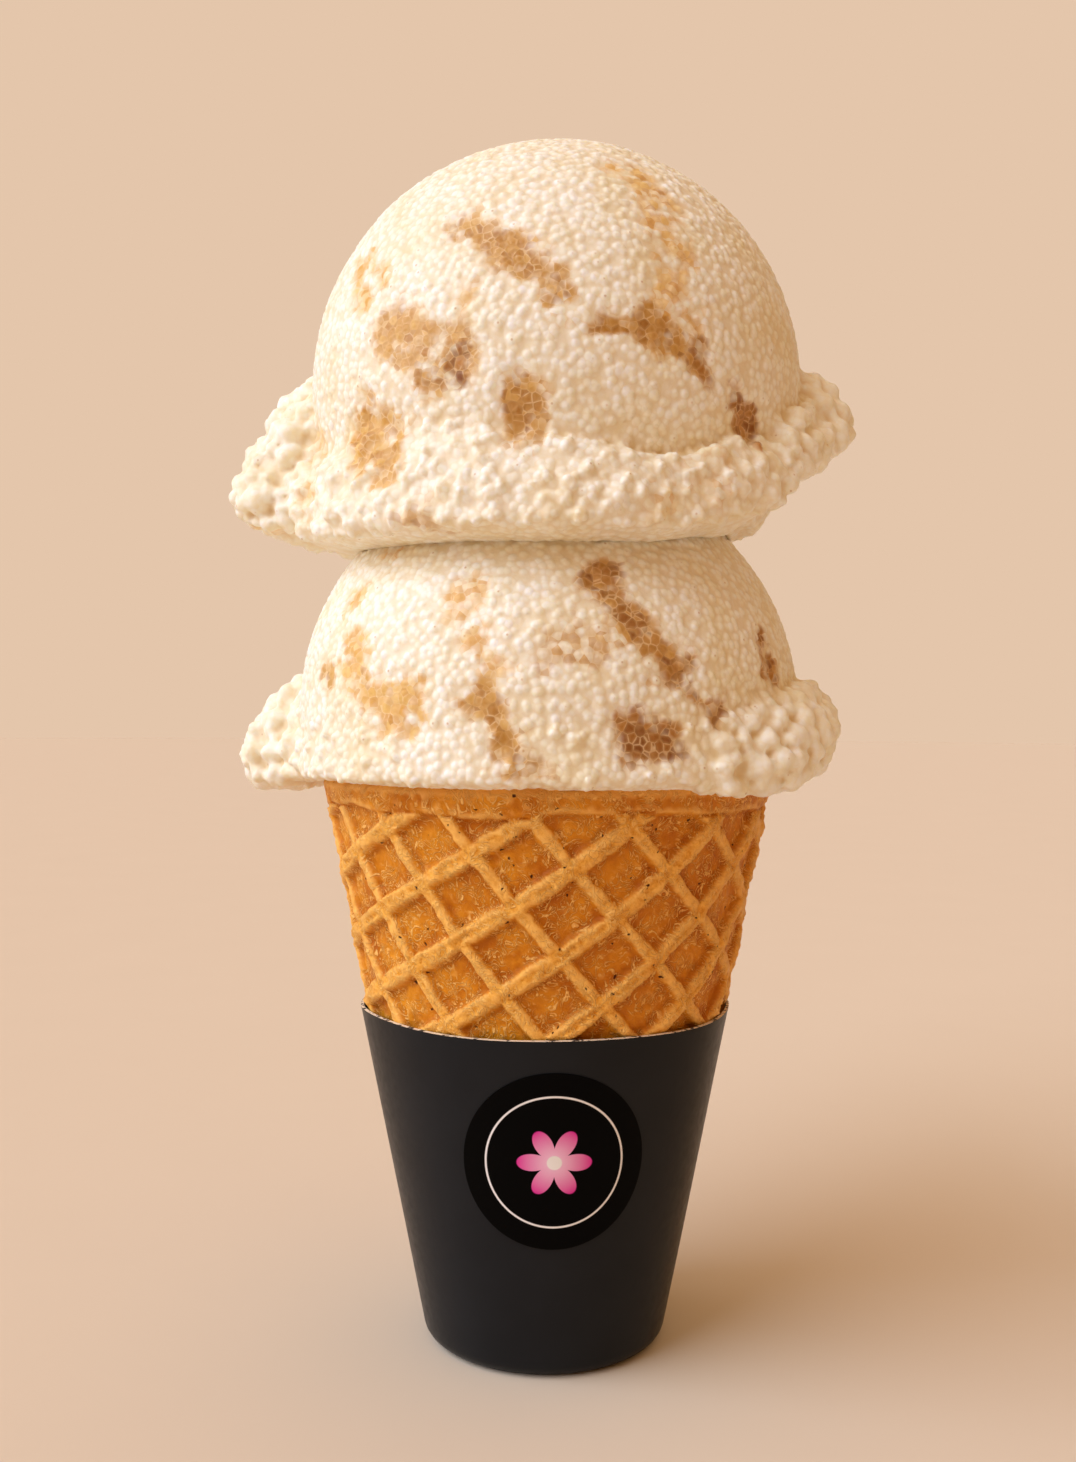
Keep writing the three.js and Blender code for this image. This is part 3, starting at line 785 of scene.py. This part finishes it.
# At each azimuth: how far the collar reaches, the height of its underside, tip and crest,
# how far the crest stands from the axis, and the height where the underside leaves the seat, in mm
lowerScoop = {
    "name": "lower_scoop",
    "node": "scoop_lower",
    "centre": (0.2, 0, 82.91),
    "radius": 32.9,
    "cutFrom": 74.7,
    "cutTo": 107.0,
    "footRadius": 25.5,
    "footHeight": 74.9,
    "shoulderRadius": 28.5,
    "seed": 11,
    "lumps": 900,
    "collar": [
        (0, 33.2, 74.7, 76.6, 87, 31.6, 74.4),
        (28, 33.4, 74.6, 76.8, 86, 31.8, 74.4),
        (40, 34.8, 73.4, 77.0, 82.8, 32.6, 74.2),
        (54, 37.0, 73.6, 78.0, 84.4, 33.6, 74),
        (66, 37.8, 75.0, 81.0, 86.2, 34.0, 74.2),
        (78, 37.6, 76.4, 82.2, 87.0, 34.0, 74.4),
        (92, 35.6, 75.8, 81.5, 85.6, 33, 74.6),
        (118, 34.2, 74.8, 79, 84, 32, 74.6),
        (150, 33.4, 74.6, 78, 84, 31.6, 74.6),
        (182, 34.8, 74, 78, 83.5, 32.4, 74.4),
        (212, 33.8, 74.4, 78, 83.5, 31.6, 74.6),
        (232, 35, 74, 78, 84.6, 32.6, 74.4),
        (245, 39.8, 72.6, 78, 86.6, 34.6, 74),
        (257, 43.0, 72.0, 78.6, 87.8, 35.2, 74),
        (268, 41.0, 72.6, 78.2, 86.6, 34.6, 74),
        (278, 35.2, 74.2, 77.6, 84.2, 32.2, 74.4),
        (286, 33.2, 74.8, 77.2, 84.8, 31.2, 74.5),
        (296, 33.6, 74.7, 76.8, 86, 31.4, 74.4),
        (330, 33.3, 74.7, 76.6, 87, 31.5, 74.4),
    ],
    # each streak: its path in degrees and mm up, its width in mm, how brown it is and how strong
    "ripple": [
        ([(10, 99.0), (16, 96.0), (21, 92.0), (26, 87.8)], 3.8, 0.7, 1.0),
        ([(16.5, 80.0), (20.5, 80.9), (24, 79.7)], 3.4, 0.95, 1.0),
        ([(30, 85.8), (35, 83.3)], 2.4, 0.9, 0.9),
        ([(56, 92.1), (56, 88.7)], 2.8, 0.9, 1.0),
        ([(2, 90.2), (13, 92.0)], 5.0, 0.6, 0.5),
        ([(-45, 103.4), (-49, 99.7), (-53, 95.2)], 2.4, 0.1, 0.7),
        ([(-49, 90.5), (-42, 85.6), (-29, 83.6)], 5.0, 0.1, 0.8),
        ([(-21, 97.0), (-18, 93.4), (-12, 88.5)], 2.6, 0.05, 0.6),
        ([(-14, 84.4), (-10, 82.0), (-6, 78.0), (-3, 76.6)], 3.6, 0.45, 0.95),
        ([(-58, 87.9), (-55, 86.4)], 1.8, 0.4, 0.8),
        ([(-101, 80), (-98, 76)], 3.5, 0.3, 0.5),
    ],
}
upperScoop = {
    "name": "upper_scoop",
    "node": "scoop_upper",
    "centre": (0.94, 0, 125.0),
    "radius": 32.15,
    "cutFrom": 107.0,
    "cutTo": 200,
    "footRadius": 22.9,
    "footHeight": 106.8,
    "shoulderRadius": 25.4,
    "seed": 12,
    "lumps": 1100,
    "collar": [
        (0, 33.5, 103.7, 106.4, 114.4, 30.8, 103.2),
        (22, 33.7, 104.0, 106.9, 112.8, 31.4, 103.4),
        (48, 34.2, 106.8, 109.6, 115.4, 32.2, 104.6),
        (68, 35.6, 112.4, 116.2, 120.8, 33.2, 107),
        (88, 38.8, 117.0, 121.6, 127.6, 34.0, 108.4),
        (104, 37.4, 116.2, 120.6, 125.6, 33.8, 108),
        (130, 35, 109.8, 114, 120, 32.8, 105.4),
        (160, 34, 105.8, 110, 116, 31.6, 104),
        (190, 34.8, 105, 109.4, 114.6, 32, 103.8),
        (220, 34.2, 104.8, 109, 115, 31.6, 103.8),
        (240, 36.4, 105.2, 110.6, 118, 33, 103.9),
        (252, 41.4, 106.2, 112.4, 124.4, 34.6, 104.2),
        (264, 43.8, 107.4, 113.4, 127.0, 35, 104.4),
        (275, 41.6, 106.8, 112, 123.4, 34.2, 104.2),
        (283, 35.4, 105.6, 109.4, 115.6, 31.6, 103.9),
        (290, 33.6, 104.6, 107.6, 115.4, 30.8, 103.6),
        (302, 34.2, 104, 107, 116, 31, 103.4),
        (334, 33.8, 103.7, 106.4, 116.6, 30.8, 103.2),
    ],
    "ripple": [
        ([(-20, 139.0), (-13, 136.6), (-5, 133.3), (0, 130.6)], 4.2, 0.45, 1.0),
        ([(-36, 126.9), (-28, 125.1), (-23, 122.6)], 7.2, 0.35, 0.85),
        ([(-22, 123.4), (-21.5, 120.8)], 3.4, 0.95, 1.0),
        ([(-8, 119.8), (-8, 117.6), (-7, 115.2)], 3.2, 0.5, 1.0),
        ([(-47, 117.2), (-39, 114.8)], 6.0, 0.2, 0.95),
        ([(-52, 137.0), (-46, 133.6)], 5.0, 0.05, 0.75),
        ([(22, 147.6), (26, 142.0), (25, 135.2), (26, 128.6)], 4.6, 0.08, 0.6),
        ([(11, 127.0), (18, 126.6), (26, 124.8)], 3.2, 0.5, 0.95),
        ([(28, 124.5), (32, 122.5)], 2.6, 0.8, 0.9),
        ([(42, 119.4), (47, 118.1)], 3.2, 0.9, 1.0),
        ([(-32, 109.0), (-23, 107.4)], 2.4, 0.6, 0.45),
        ([(20, 110.3), (35, 112.6)], 2.6, 0.3, 0.35),
        ([(-20, 129.9), (-19, 130.6)], 1.6, 0.1, 0.5),
        ([(-95, 112), (-80, 108)], 3.0, 0.05, 0.5),
        ([(-76, 119), (-70, 115), (-66, 111)], 3.4, 0, 0.42),
    ],
}


def collarShape(scoop, azimuth, pull=0):
    # the six points of the collar's section at each azimuth, as arrays of reach and height, drawn in
    # by the pull where the collar reaches far, because torn crumbs stand on it there
    rows = np.array(scoop["collar"], dtype=float)
    rows = np.vstack([rows, rows[0] + [360, 0, 0, 0, 0, 0, 0]])
    turn = azimuth % 360
    nearest = np.clip(np.searchsorted(rows[:, 0], turn, side="right") - 1, 0, len(rows) - 2)
    share = (turn - rows[nearest, 0]) / (rows[nearest + 1, 0] - rows[nearest, 0])
    share = share * share * (3 - 2 * share)
    at = rows[nearest] + (rows[nearest + 1] - rows[nearest]) * share[:, None]
    drawn = pull * np.clip((at[:, 1] - iceCream["tornFrom"]) / iceCream["tornOver"], 0, 1)
    reach, low, tip, top, crest = at[:, 1] - drawn, at[:, 2] + drawn, at[:, 3], at[:, 4] - drawn, at[:, 5]
    same = np.ones_like(reach)
    foot, shoulder = scoop["footRadius"], scoop["shoulderRadius"]
    under = shoulder + iceCream["lipUnder"] * (reach - shoulder)
    inside = foot + iceCream["crestInside"] * (crest - foot)
    radii = np.array([foot * same, shoulder * same, under, reach, crest, inside])
    heights = np.array([scoop["footHeight"] * same, at[:, 6], low, tip, top, top - iceCream["crestDrop"]])
    return radii, heights


def onSection(corners, share):
    # a smooth closed curve through the section's points, at a share from 0 to 1 of its length
    count = len(corners)
    place = (share % 1) * count
    first = np.floor(place).astype(int) % count
    t = place - np.floor(place)
    columns = np.arange(corners.shape[1])
    p0, p1, p2, p3 = (corners[(first + k) % count, columns] for k in (-1, 0, 1, 2))
    return 0.5 * (
        2 * p1 + (p2 - p0) * t + (2 * p0 - 5 * p1 + 4 * p2 - p3) * t**2 + (3 * p1 - p0 - 3 * p2 + p3) * t**3
    )


def buildCollar(scoop):
    deselectAll()
    bpy.ops.mesh.primitive_torus_add(
        major_segments=iceCream["ringSides"],
        minor_segments=iceCream["ringRounds"],
        major_radius=iceCream["ringRadius"] * mm,
        minor_radius=iceCream["ringThickness"] * mm,
        location=(0, 0, scoop["footHeight"] * mm),
    )
    collar = settle(scoop["name"] + "_collar")
    points = readPoints(collar) / mm
    azimuth = azimuthOf(points)
    away = np.hypot(points[:, 0], points[:, 1]) - iceCream["ringRadius"]
    # the ring's own section angle, counted from the inside and down, becomes the place on the lip
    share = ((np.degrees(np.arctan2(points[:, 2] - scoop["footHeight"], away)) + 180) % 360) / 360
    radii, heights = collarShape(scoop, azimuth, iceCream["tornPull"])
    radius = onSection(radii, share)
    z = onSection(heights, share)
    turn = np.radians(azimuth)
    moved = np.column_stack([radius * np.sin(turn) + scoop["centre"][0], -radius * np.cos(turn), z])
    writePoints(collar, moved * mm)
    return collar


def scatterLumps(scoop, draw, count, sizes, reachFrom, sink):
    # seeded places and sizes for torn crumbs on the outer half of the collar, none too close to another
    tries = count * iceCream["crumbTries"]
    azimuth = draw.uniform(0, 360, tries)
    radii, heights = collarShape(scoop, azimuth)
    share = draw.uniform(*iceCream["crumbSection"], tries)
    radius = onSection(radii, share)
    z = onSection(heights, share)
    along = onSection(radii, share + 0.01) - radius
    up = onSection(heights, share + 0.01) - z
    length = np.hypot(along, up)
    far = np.clip((radii[3] - reachFrom) / iceCream["tornOver"], 0, 1)
    wanted = (radius > iceCream["crumbFrom"]) & (draw.uniform(0, 1, tries) < far)
    size = draw.uniform(*sizes, tries)
    radius = radius - sink * size * up / length
    z = np.maximum(z + sink * size * along / length, heights[2] + iceCream["crumbClear"] * size)
    turn = np.radians(azimuth)
    places = np.column_stack([radius * np.sin(turn) + scoop["centre"][0], -radius * np.cos(turn), z])
    kept = []
    for i in np.flatnonzero(wanted):
        apart = np.linalg.norm(places[kept] - places[i], axis=1)
        if len(kept) < count and np.all(apart > iceCream["crumbApart"] * (size[kept] + size[i])):
            kept.append(i)
    return places[kept], size[kept]


def buildLumps(scoop):
    # torn crumbs of ice cream where the collar reaches out: mostly small, and a few large ones further out
    draw = np.random.default_rng(scoop["seed"])
    kinds = [
        scatterLumps(scoop, draw, scoop["lumps"] // oneIn, sizes, reachFrom, sink)
        for oneIn, sizes, reachFrom, sink in iceCream["crumbs"]
    ]
    centres = np.vstack([places for places, radii in kinds])
    size = np.concatenate([radii for places, radii in kinds])

    deselectAll()
    bpy.ops.mesh.primitive_ico_sphere_add(subdivisions=iceCream["crumbFaces"], radius=1)
    lumps = settle(scoop["name"] + "_lumps")
    shape = readPoints(lumps)
    faces = np.array([face.vertices[:] for face in lumps.data.polygons])
    stretch = draw.uniform(*iceCream["crumbStretch"], (len(size), 1, 3))
    points = (centres[:, None, :] + shape[None] * size[:, None, None] * stretch).reshape(-1, 3) * mm
    faces = (faces[None] + (np.arange(len(size)) * len(shape))[:, None, None]).reshape(-1, 3)
    lumps.data.clear_geometry()
    lumps.data.from_pydata(points.tolist(), [], faces.tolist())
    return lumps


def rippleOf(scoop, points):
    # how much ripple there is at each point, and how brown it is
    centre = np.array(scoop["centre"])
    share = np.zeros(len(points))
    brown = np.zeros(len(points))
    outward = points - centre
    onBall = centre + outward * (scoop["radius"] / np.linalg.norm(outward, axis=1))[:, None]
    wobble = noiseSum(points, iceCream["rippleBend"], scoop["seed"])
    inner, outer = iceCream["rippleFade"]
    for path, width, tone, strength in scoop["ripple"]:
        corners = []
        for azimuth, z in path:
            turn = math.radians(azimuth)
            away = math.sqrt(max(scoop["radius"] ** 2 - (z - centre[2]) ** 2, iceCream["rippleNearest"] ** 2))
            corners.append(np.array([away * math.sin(turn) + centre[0], -away * math.cos(turn), z]))
        gap = np.full(len(points), 1e9)
        for a, b in zip(corners[:-1], corners[1:]):
            along = np.clip(((onBall - a) @ (b - a)) / ((b - a) @ (b - a)), 0, 1)
            gap = np.minimum(gap, np.linalg.norm(onBall - a - along[:, None] * (b - a), axis=1))
        inside = strength * (1 - smoothStep(gap + wobble, width / 2 + inner, width / 2 + outer))
        brown = np.where(inside > share, tone, brown)
        share = np.maximum(share, inside)
    return share, brown


def backRipple(scoop):
    # streaks for the side that faces away, in the style of the front ones: each drawn at random
    draw = np.random.default_rng(scoop["seed"] + backStreaks["seed"])
    top = min(scoop["cutTo"], scoop["centre"][2] + scoop["radius"]) - backStreaks["margin"]
    bottom = scoop["cutFrom"] + backStreaks["margin"]
    count, stray = backStreaks["count"], backStreaks["stray"]
    made = []
    for i in range(count):
        azimuth = backStreaks["from"] + backStreaks["span"] * (i + draw.uniform(0.1, 0.9)) / count
        z = draw.uniform(bottom, top)
        lean = draw.uniform(*backStreaks["lean"])
        fall = draw.uniform(*backStreaks["fall"])
        path = [(azimuth + lean * k / 2, z - fall * k / 2 + draw.uniform(-stray, stray)) for k in range(3)]
        width = draw.uniform(*backStreaks["width"])
        made.append((path, width, draw.uniform(0, 1), draw.uniform(*backStreaks["strength"])))
    return made


def grainNodes():
    # lifts each cell of frozen grain into a small dome and keeps the smooth place for the material
    tree = bpy.data.node_groups.new("frozenGrain", "GeometryNodeTree")
    tree.interface.new_socket("Geometry", in_out="INPUT", socket_type="NodeSocketGeometry")
    tree.interface.new_socket("Geometry", in_out="OUTPUT", socket_type="NodeSocketGeometry")
    entry = addNode(tree, "NodeGroupInput")
    place = addNode(tree, "GeometryNodeInputPosition")
    normal = addNode(tree, "GeometryNodeInputNormal")
    ripple = addNode(tree, "GeometryNodeInputNamedAttribute", {"Name": "ripple"}, {"data_type": "FLOAT"})
    cells = addNode(
        tree, "ShaderNodeTexVoronoi",
        {"Vector": place, "Scale": 1 / (grain["size"] * mm), "Randomness": grain["randomness"]},
    )
    toMiddle = cells.outputs["Distance"]
    squared = addNode(tree, "ShaderNodeMath", {0: toMiddle, 1: toMiddle}, multiply)
    dome = addNode(
        tree, "ShaderNodeMapRange", {"Value": squared, "From Max": 0.5, "To Min": 1.0, "To Max": 0.0}
    )
    swell = addNode(
        tree, "ShaderNodeTexNoise", {"Vector": place, "Scale": 1 / (grain["swellSize"] * mm), "Detail": 2.0}
    )
    swelled = addNode(
        tree, "ShaderNodeMapRange",
        {"Value": swell, "To Min": -grain["swell"] * mm, "To Max": grain["swell"] * mm},
    )
    # the torn crumbs are large grains themselves, so less is lifted there
    torn = addNode(tree, "GeometryNodeInputNamedAttribute", {"Name": "torn"}, {"data_type": "FLOAT"})
    most, least = grain["height"] * mm, grain["tornKept"] * grain["height"] * mm
    lift = addNode(tree, "ShaderNodeMapRange", {"Value": torn, "To Min": most, "To Max": least})
    domed = addNode(tree, "ShaderNodeMath", {0: dome, 1: lift, 2: swelled}, multiplyAdd)
    sunk = addNode(tree, "ShaderNodeMath", {0: ripple, 1: -grain["rippleSunk"] * mm, 2: domed}, multiplyAdd)
    lowered = addNode(tree, "ShaderNodeMath", {0: sunk, 1: 0.5 * grain["height"] * mm}, subtract)
    offset = addNode(tree, "ShaderNodeVectorMath", {0: normal, "Scale": lowered}, {"operation": "SCALE"})
    kept = addNode(
        tree,
        "GeometryNodeStoreNamedAttribute",
        {"Geometry": entry, "Name": "smoothPlace", "Value": place},
        {"data_type": "FLOAT_VECTOR", "domain": "POINT"},
    )
    lifted = addNode(tree, "GeometryNodeSetPosition", {"Geometry": kept, "Offset": offset})
    addNode(tree, "NodeGroupOutput", {0: lifted})
    return tree


def makeFrozenCream():
    # Churned cream ice, frozen and scooped: soft translucent ivory grains with a wet glint, painted shade
    # in deeper yellow between them and in the crevices, and set caramel in the ripple with painted
    # highlights as pale edges round its cells
    material, shader, add = newMaterial("frozenRippleCream")
    where = add("Attribute", settings={"attribute_name": "smoothPlace"}).outputs["Vector"]
    names = ("ripple", "brown", "dip", "torn")
    painted = [add("Attribute", settings={"attribute_name": name}) for name in names]
    ripple, brown, dip, torn = (node.outputs["Fac"] for node in painted)
    scale = 1 / (grain["size"] * mm)
    cells = add("TexVoronoi", {"Vector": where, "Scale": scale, "Randomness": grain["randomness"]})
    walls = add(
        "TexVoronoi",
        {"Vector": where, "Scale": scale, "Randomness": grain["randomness"]}, {"feature": "DISTANCE_TO_EDGE"},
    )
    tint = add("SeparateColor", {0: cells.outputs["Color"]})
    toMiddle = cells.outputs["Distance"]
    cream = add("Mix", {0: tint.outputs[0], 6: "#FBF4DF", 7: "#FFFDF2"}, inColour)
    cloud = add("TexNoise", {"Vector": where, "Scale": 1 / (7 * mm), "Detail": 1.5})
    warm = add("MapRange", {"Value": cloud, "From Min": 0.45, "From Max": 0.75, "To Max": 0.5})
    warmed = add("Mix", {0: warm, 6: cream, 7: "#EEDFAE"}, inColour)
    # painted shade: the crevices between crumbs, measured on the mesh, are painted deeper yellow
    creviceShadeShare = add("MapRange", {"Value": dip, "From Min": 0.0, "From Max": 1.0, "To Max": 0.75})
    creviceShaded = add("Mix", {0: creviceShadeShare, 6: warmed, 7: "#E2C078"}, inColour)
    # painted shade where grains meet: deeper and yellower, but less on torn crumbs, which are grains
    # themselves
    calm = add("MapRange", {"Value": torn, "To Min": 1.0, "To Max": 0.3})
    corner = add("MapRange", {"Value": toMiddle, "From Min": 0.36, "From Max": 0.7, "To Max": 0.34}, eased)
    jointShadeShare = add("Math", {0: corner, 1: calm}, multiply)
    jointShaded = add("Mix", {0: jointShadeShare, 6: creviceShaded, 7: "#DCBD74"}, inColour)
    # fine tan pores
    rare = add("MapRange", {"Value": tint.outputs[2], "From Min": 0.86, "From Max": 0.94, "To Max": 0.6})
    pore = add("MapRange", {"Value": toMiddle, "From Min": 0.2, "From Max": 0.08})
    poreShare = add("Math", {0: pore, 1: rare}, multiply)
    pored = add("Mix", {0: poreShare, 6: jointShaded, 7: "#C08E50"}, inColour)
    # the ripple takes or leaves whole cells, so its edge follows the grain
    uneven = add("Math", {0: tint.outputs[1], 1: 0.36, 2: -0.18}, multiplyAdd)
    frostCloud = add("TexNoise", {"Vector": where, "Scale": 1 / (3.4 * mm), "Detail": 2.0})
    frost = add("MapRange", {"Value": frostCloud, "From Min": 0.5, "From Max": 0.7, "To Max": 0.6})
    thinned = add("Math", {0: ripple, 1: frost}, subtract)
    rippled = add("Math", {0: thinned, 1: uneven}, {"operation": "ADD"})
    rippleShare = add("MapRange", {"Value": rippled, "From Min": 0.06, "From Max": 0.9}, eased)
    # each amber cell keeps its caramel tone in its middle and is made paler towards its raised wall, a
    # painted highlight
    golden = add("Mix", {0: tint.outputs[2], 6: "#DBA03C", 7: "#F2CC7A"}, inColour)
    toffee = add("Mix", {0: tint.outputs[2], 6: "#84491B", 7: "#BC8038"}, inColour)
    toneShift = add("Math", {0: tint.outputs[0], 1: 0.3, 2: -0.45}, multiplyAdd)
    middle = add("Math", {0: ripple, 1: 0.45, 2: toneShift}, multiplyAdd)
    tone = add("Math", {0: brown, 1: middle}, {"operation": "ADD", "use_clamp": True})
    caramel = add("Mix", {0: tone, 6: golden, 7: toffee}, inColour)
    # painted highlight along the raised walls
    wallHighlightShare = add("MapRange", {"Value": walls, "From Min": 0.3, "From Max": 0.0, "To Max": 0.34})
    wallHighlighted = add("Mix", {0: wallHighlightShare, 6: caramel, 7: "#E8C080"}, inColour)
    # painted highlights as pale threads along some of the walls
    threadCloud = add("TexNoise", {"Vector": where, "Scale": 1 / (1.9 * mm)})
    threadWidth = add(
        "MapRange", {"Value": threadCloud, "From Min": 0.42, "From Max": 0.62, "To Min": 0.0, "To Max": 0.1}
    )
    threadEdge = add("Math", {0: threadWidth, 1: walls}, subtract)
    thread = add("MapRange", {"Value": threadEdge, "From Min": 0.0, "From Max": 0.06, "To Max": 0.45})
    threadHighlighted = add("Mix", {0: thread, 6: wallHighlighted, 7: "#F6DDB0"}, inColour)
    coloured = add("Mix", {0: rippleShare, 6: pored, 7: threadHighlighted}, inColour)
    # soft beads in the cream, and raised walls where the caramel is
    bead = add(
        "MapRange",
        {"Value": toMiddle, "From Min": 0.1, "From Max": 0.72, "To Min": 1.0, "To Max": 0.0}, eased,
    )
    calmBead = add("Math", {0: bead, 1: calm}, multiply)
    joint = add("MapRange", {"Value": toMiddle, "From Min": 0.34, "From Max": 0.66, "To Max": 0.8}, eased)
    ridge = add("Mix", {0: ripple, 2: calmBead, 3: joint})
    ice = add("TexNoise", {"Vector": where, "Scale": 1 / (0.5 * mm), "Detail": 1.0})
    rough = add("Math", {0: ice, 1: 0.5, 2: ridge}, multiplyAdd)
    bump = add("Bump", {"Height": rough, "Strength": 0.6, "Distance": 0.12 * mm})
    feed(shader, {"Base Color": coloured, "Normal": bump, "Roughness": 0.46, "Specular IOR Level": 0.4})
    feed(shader, {"Subsurface Weight": 0.35, "Subsurface Radius": (0.9, 0.78, 0.5)})
    feed(shader, {"Subsurface Scale": 1.4 * mm})
    return material


def buildScoop(scoop, grainTree, material):
    centre = Vector(scoop["centre"]) * mm
    radius = scoop["radius"] * mm
    deselectAll()
    bpy.ops.mesh.primitive_ico_sphere_add(subdivisions=iceCream["ballCuts"], radius=radius, location=centre)
    ball = settle(scoop["name"])
    selectParts(ball, "faces", lambda place, face: True)
    bpy.ops.mesh.bisect(
        plane_co=(0, 0, scoop["cutFrom"] * mm), plane_no=(0, 0, 1), clear_inner=True, use_fill=True
    )
    if scoop["cutTo"] * mm < centre.z + radius:
        bpy.ops.mesh.select_all(action="SELECT")
        bpy.ops.mesh.bisect(
            plane_co=(0, 0, scoop["cutTo"] * mm), plane_no=(0, 0, 1), clear_outer=True, use_fill=True
        )
    collar = buildCollar(scoop)
    lumps = buildLumps(scoop)
    deselectAll()
    for part in (collar, lumps, ball):
        part.select_set(True)
    bpy.context.view_layer.objects.active = ball
    bpy.ops.object.join()
    applyModifier(ball, "REMESH", mode="VOXEL", voxel_size=iceCream["voxel"] * mm, adaptivity=0)
    applyModifier(ball, "SMOOTH", factor=0.5, iterations=iceCream["smoothing"])
    points = readPoints(ball) / mm
    scoop["ripple"] += backRipple(scoop)
    share, brown = rippleOf(scoop, points)
    paint(ball, "ripple", share)
    paint(ball, "brown", brown)
    radii, heights = collarShape(scoop, azimuthOf(points))
    proud = np.linalg.norm(points - np.array(scoop["centre"]), axis=1) - scoop["radius"]
    torn = np.clip((radii[3] - iceCream["tornFrom"]) / iceCream["tornOver"], 0, 1)
    paint(ball, "torn", torn * smoothStep(proud, *iceCream["tornProud"]))
    # hollows are measured for the material's painted shade in the crevices
    dip = hollowness(ball, iceCream["dipRounds"], iceCream["dipDepth"] * mm)
    paint(ball, "dip", np.clip(dip, 0, 1))
    makeActive(ball)
    modifier = ball.modifiers.new("frozenGrain", "NODES")
    modifier.node_group = grainTree
    bpy.ops.object.modifier_apply(modifier=modifier.name)
    triangles = sum(len(face.vertices) - 2 for face in ball.data.polygons)
    if triangles > iceCream["mostTriangles"]:
        applyModifier(ball, "DECIMATE", ratio=iceCream["mostTriangles"] / triangles)
    ball.data.materials.clear()
    ball.data.materials.append(material)
    bpy.ops.object.shade_smooth()
    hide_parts(scoop["node"])
    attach(ball, "root")
    print(scoop["name"], sum(len(face.vertices) - 2 for face in ball.data.polygons), "triangles")


grainTree = grainNodes()
creamMaterial = makeFrozenCream()
for scoop in (lowerScoop, upperScoop):
    buildScoop(scoop, grainTree, creamMaterial)
print("scoops made")
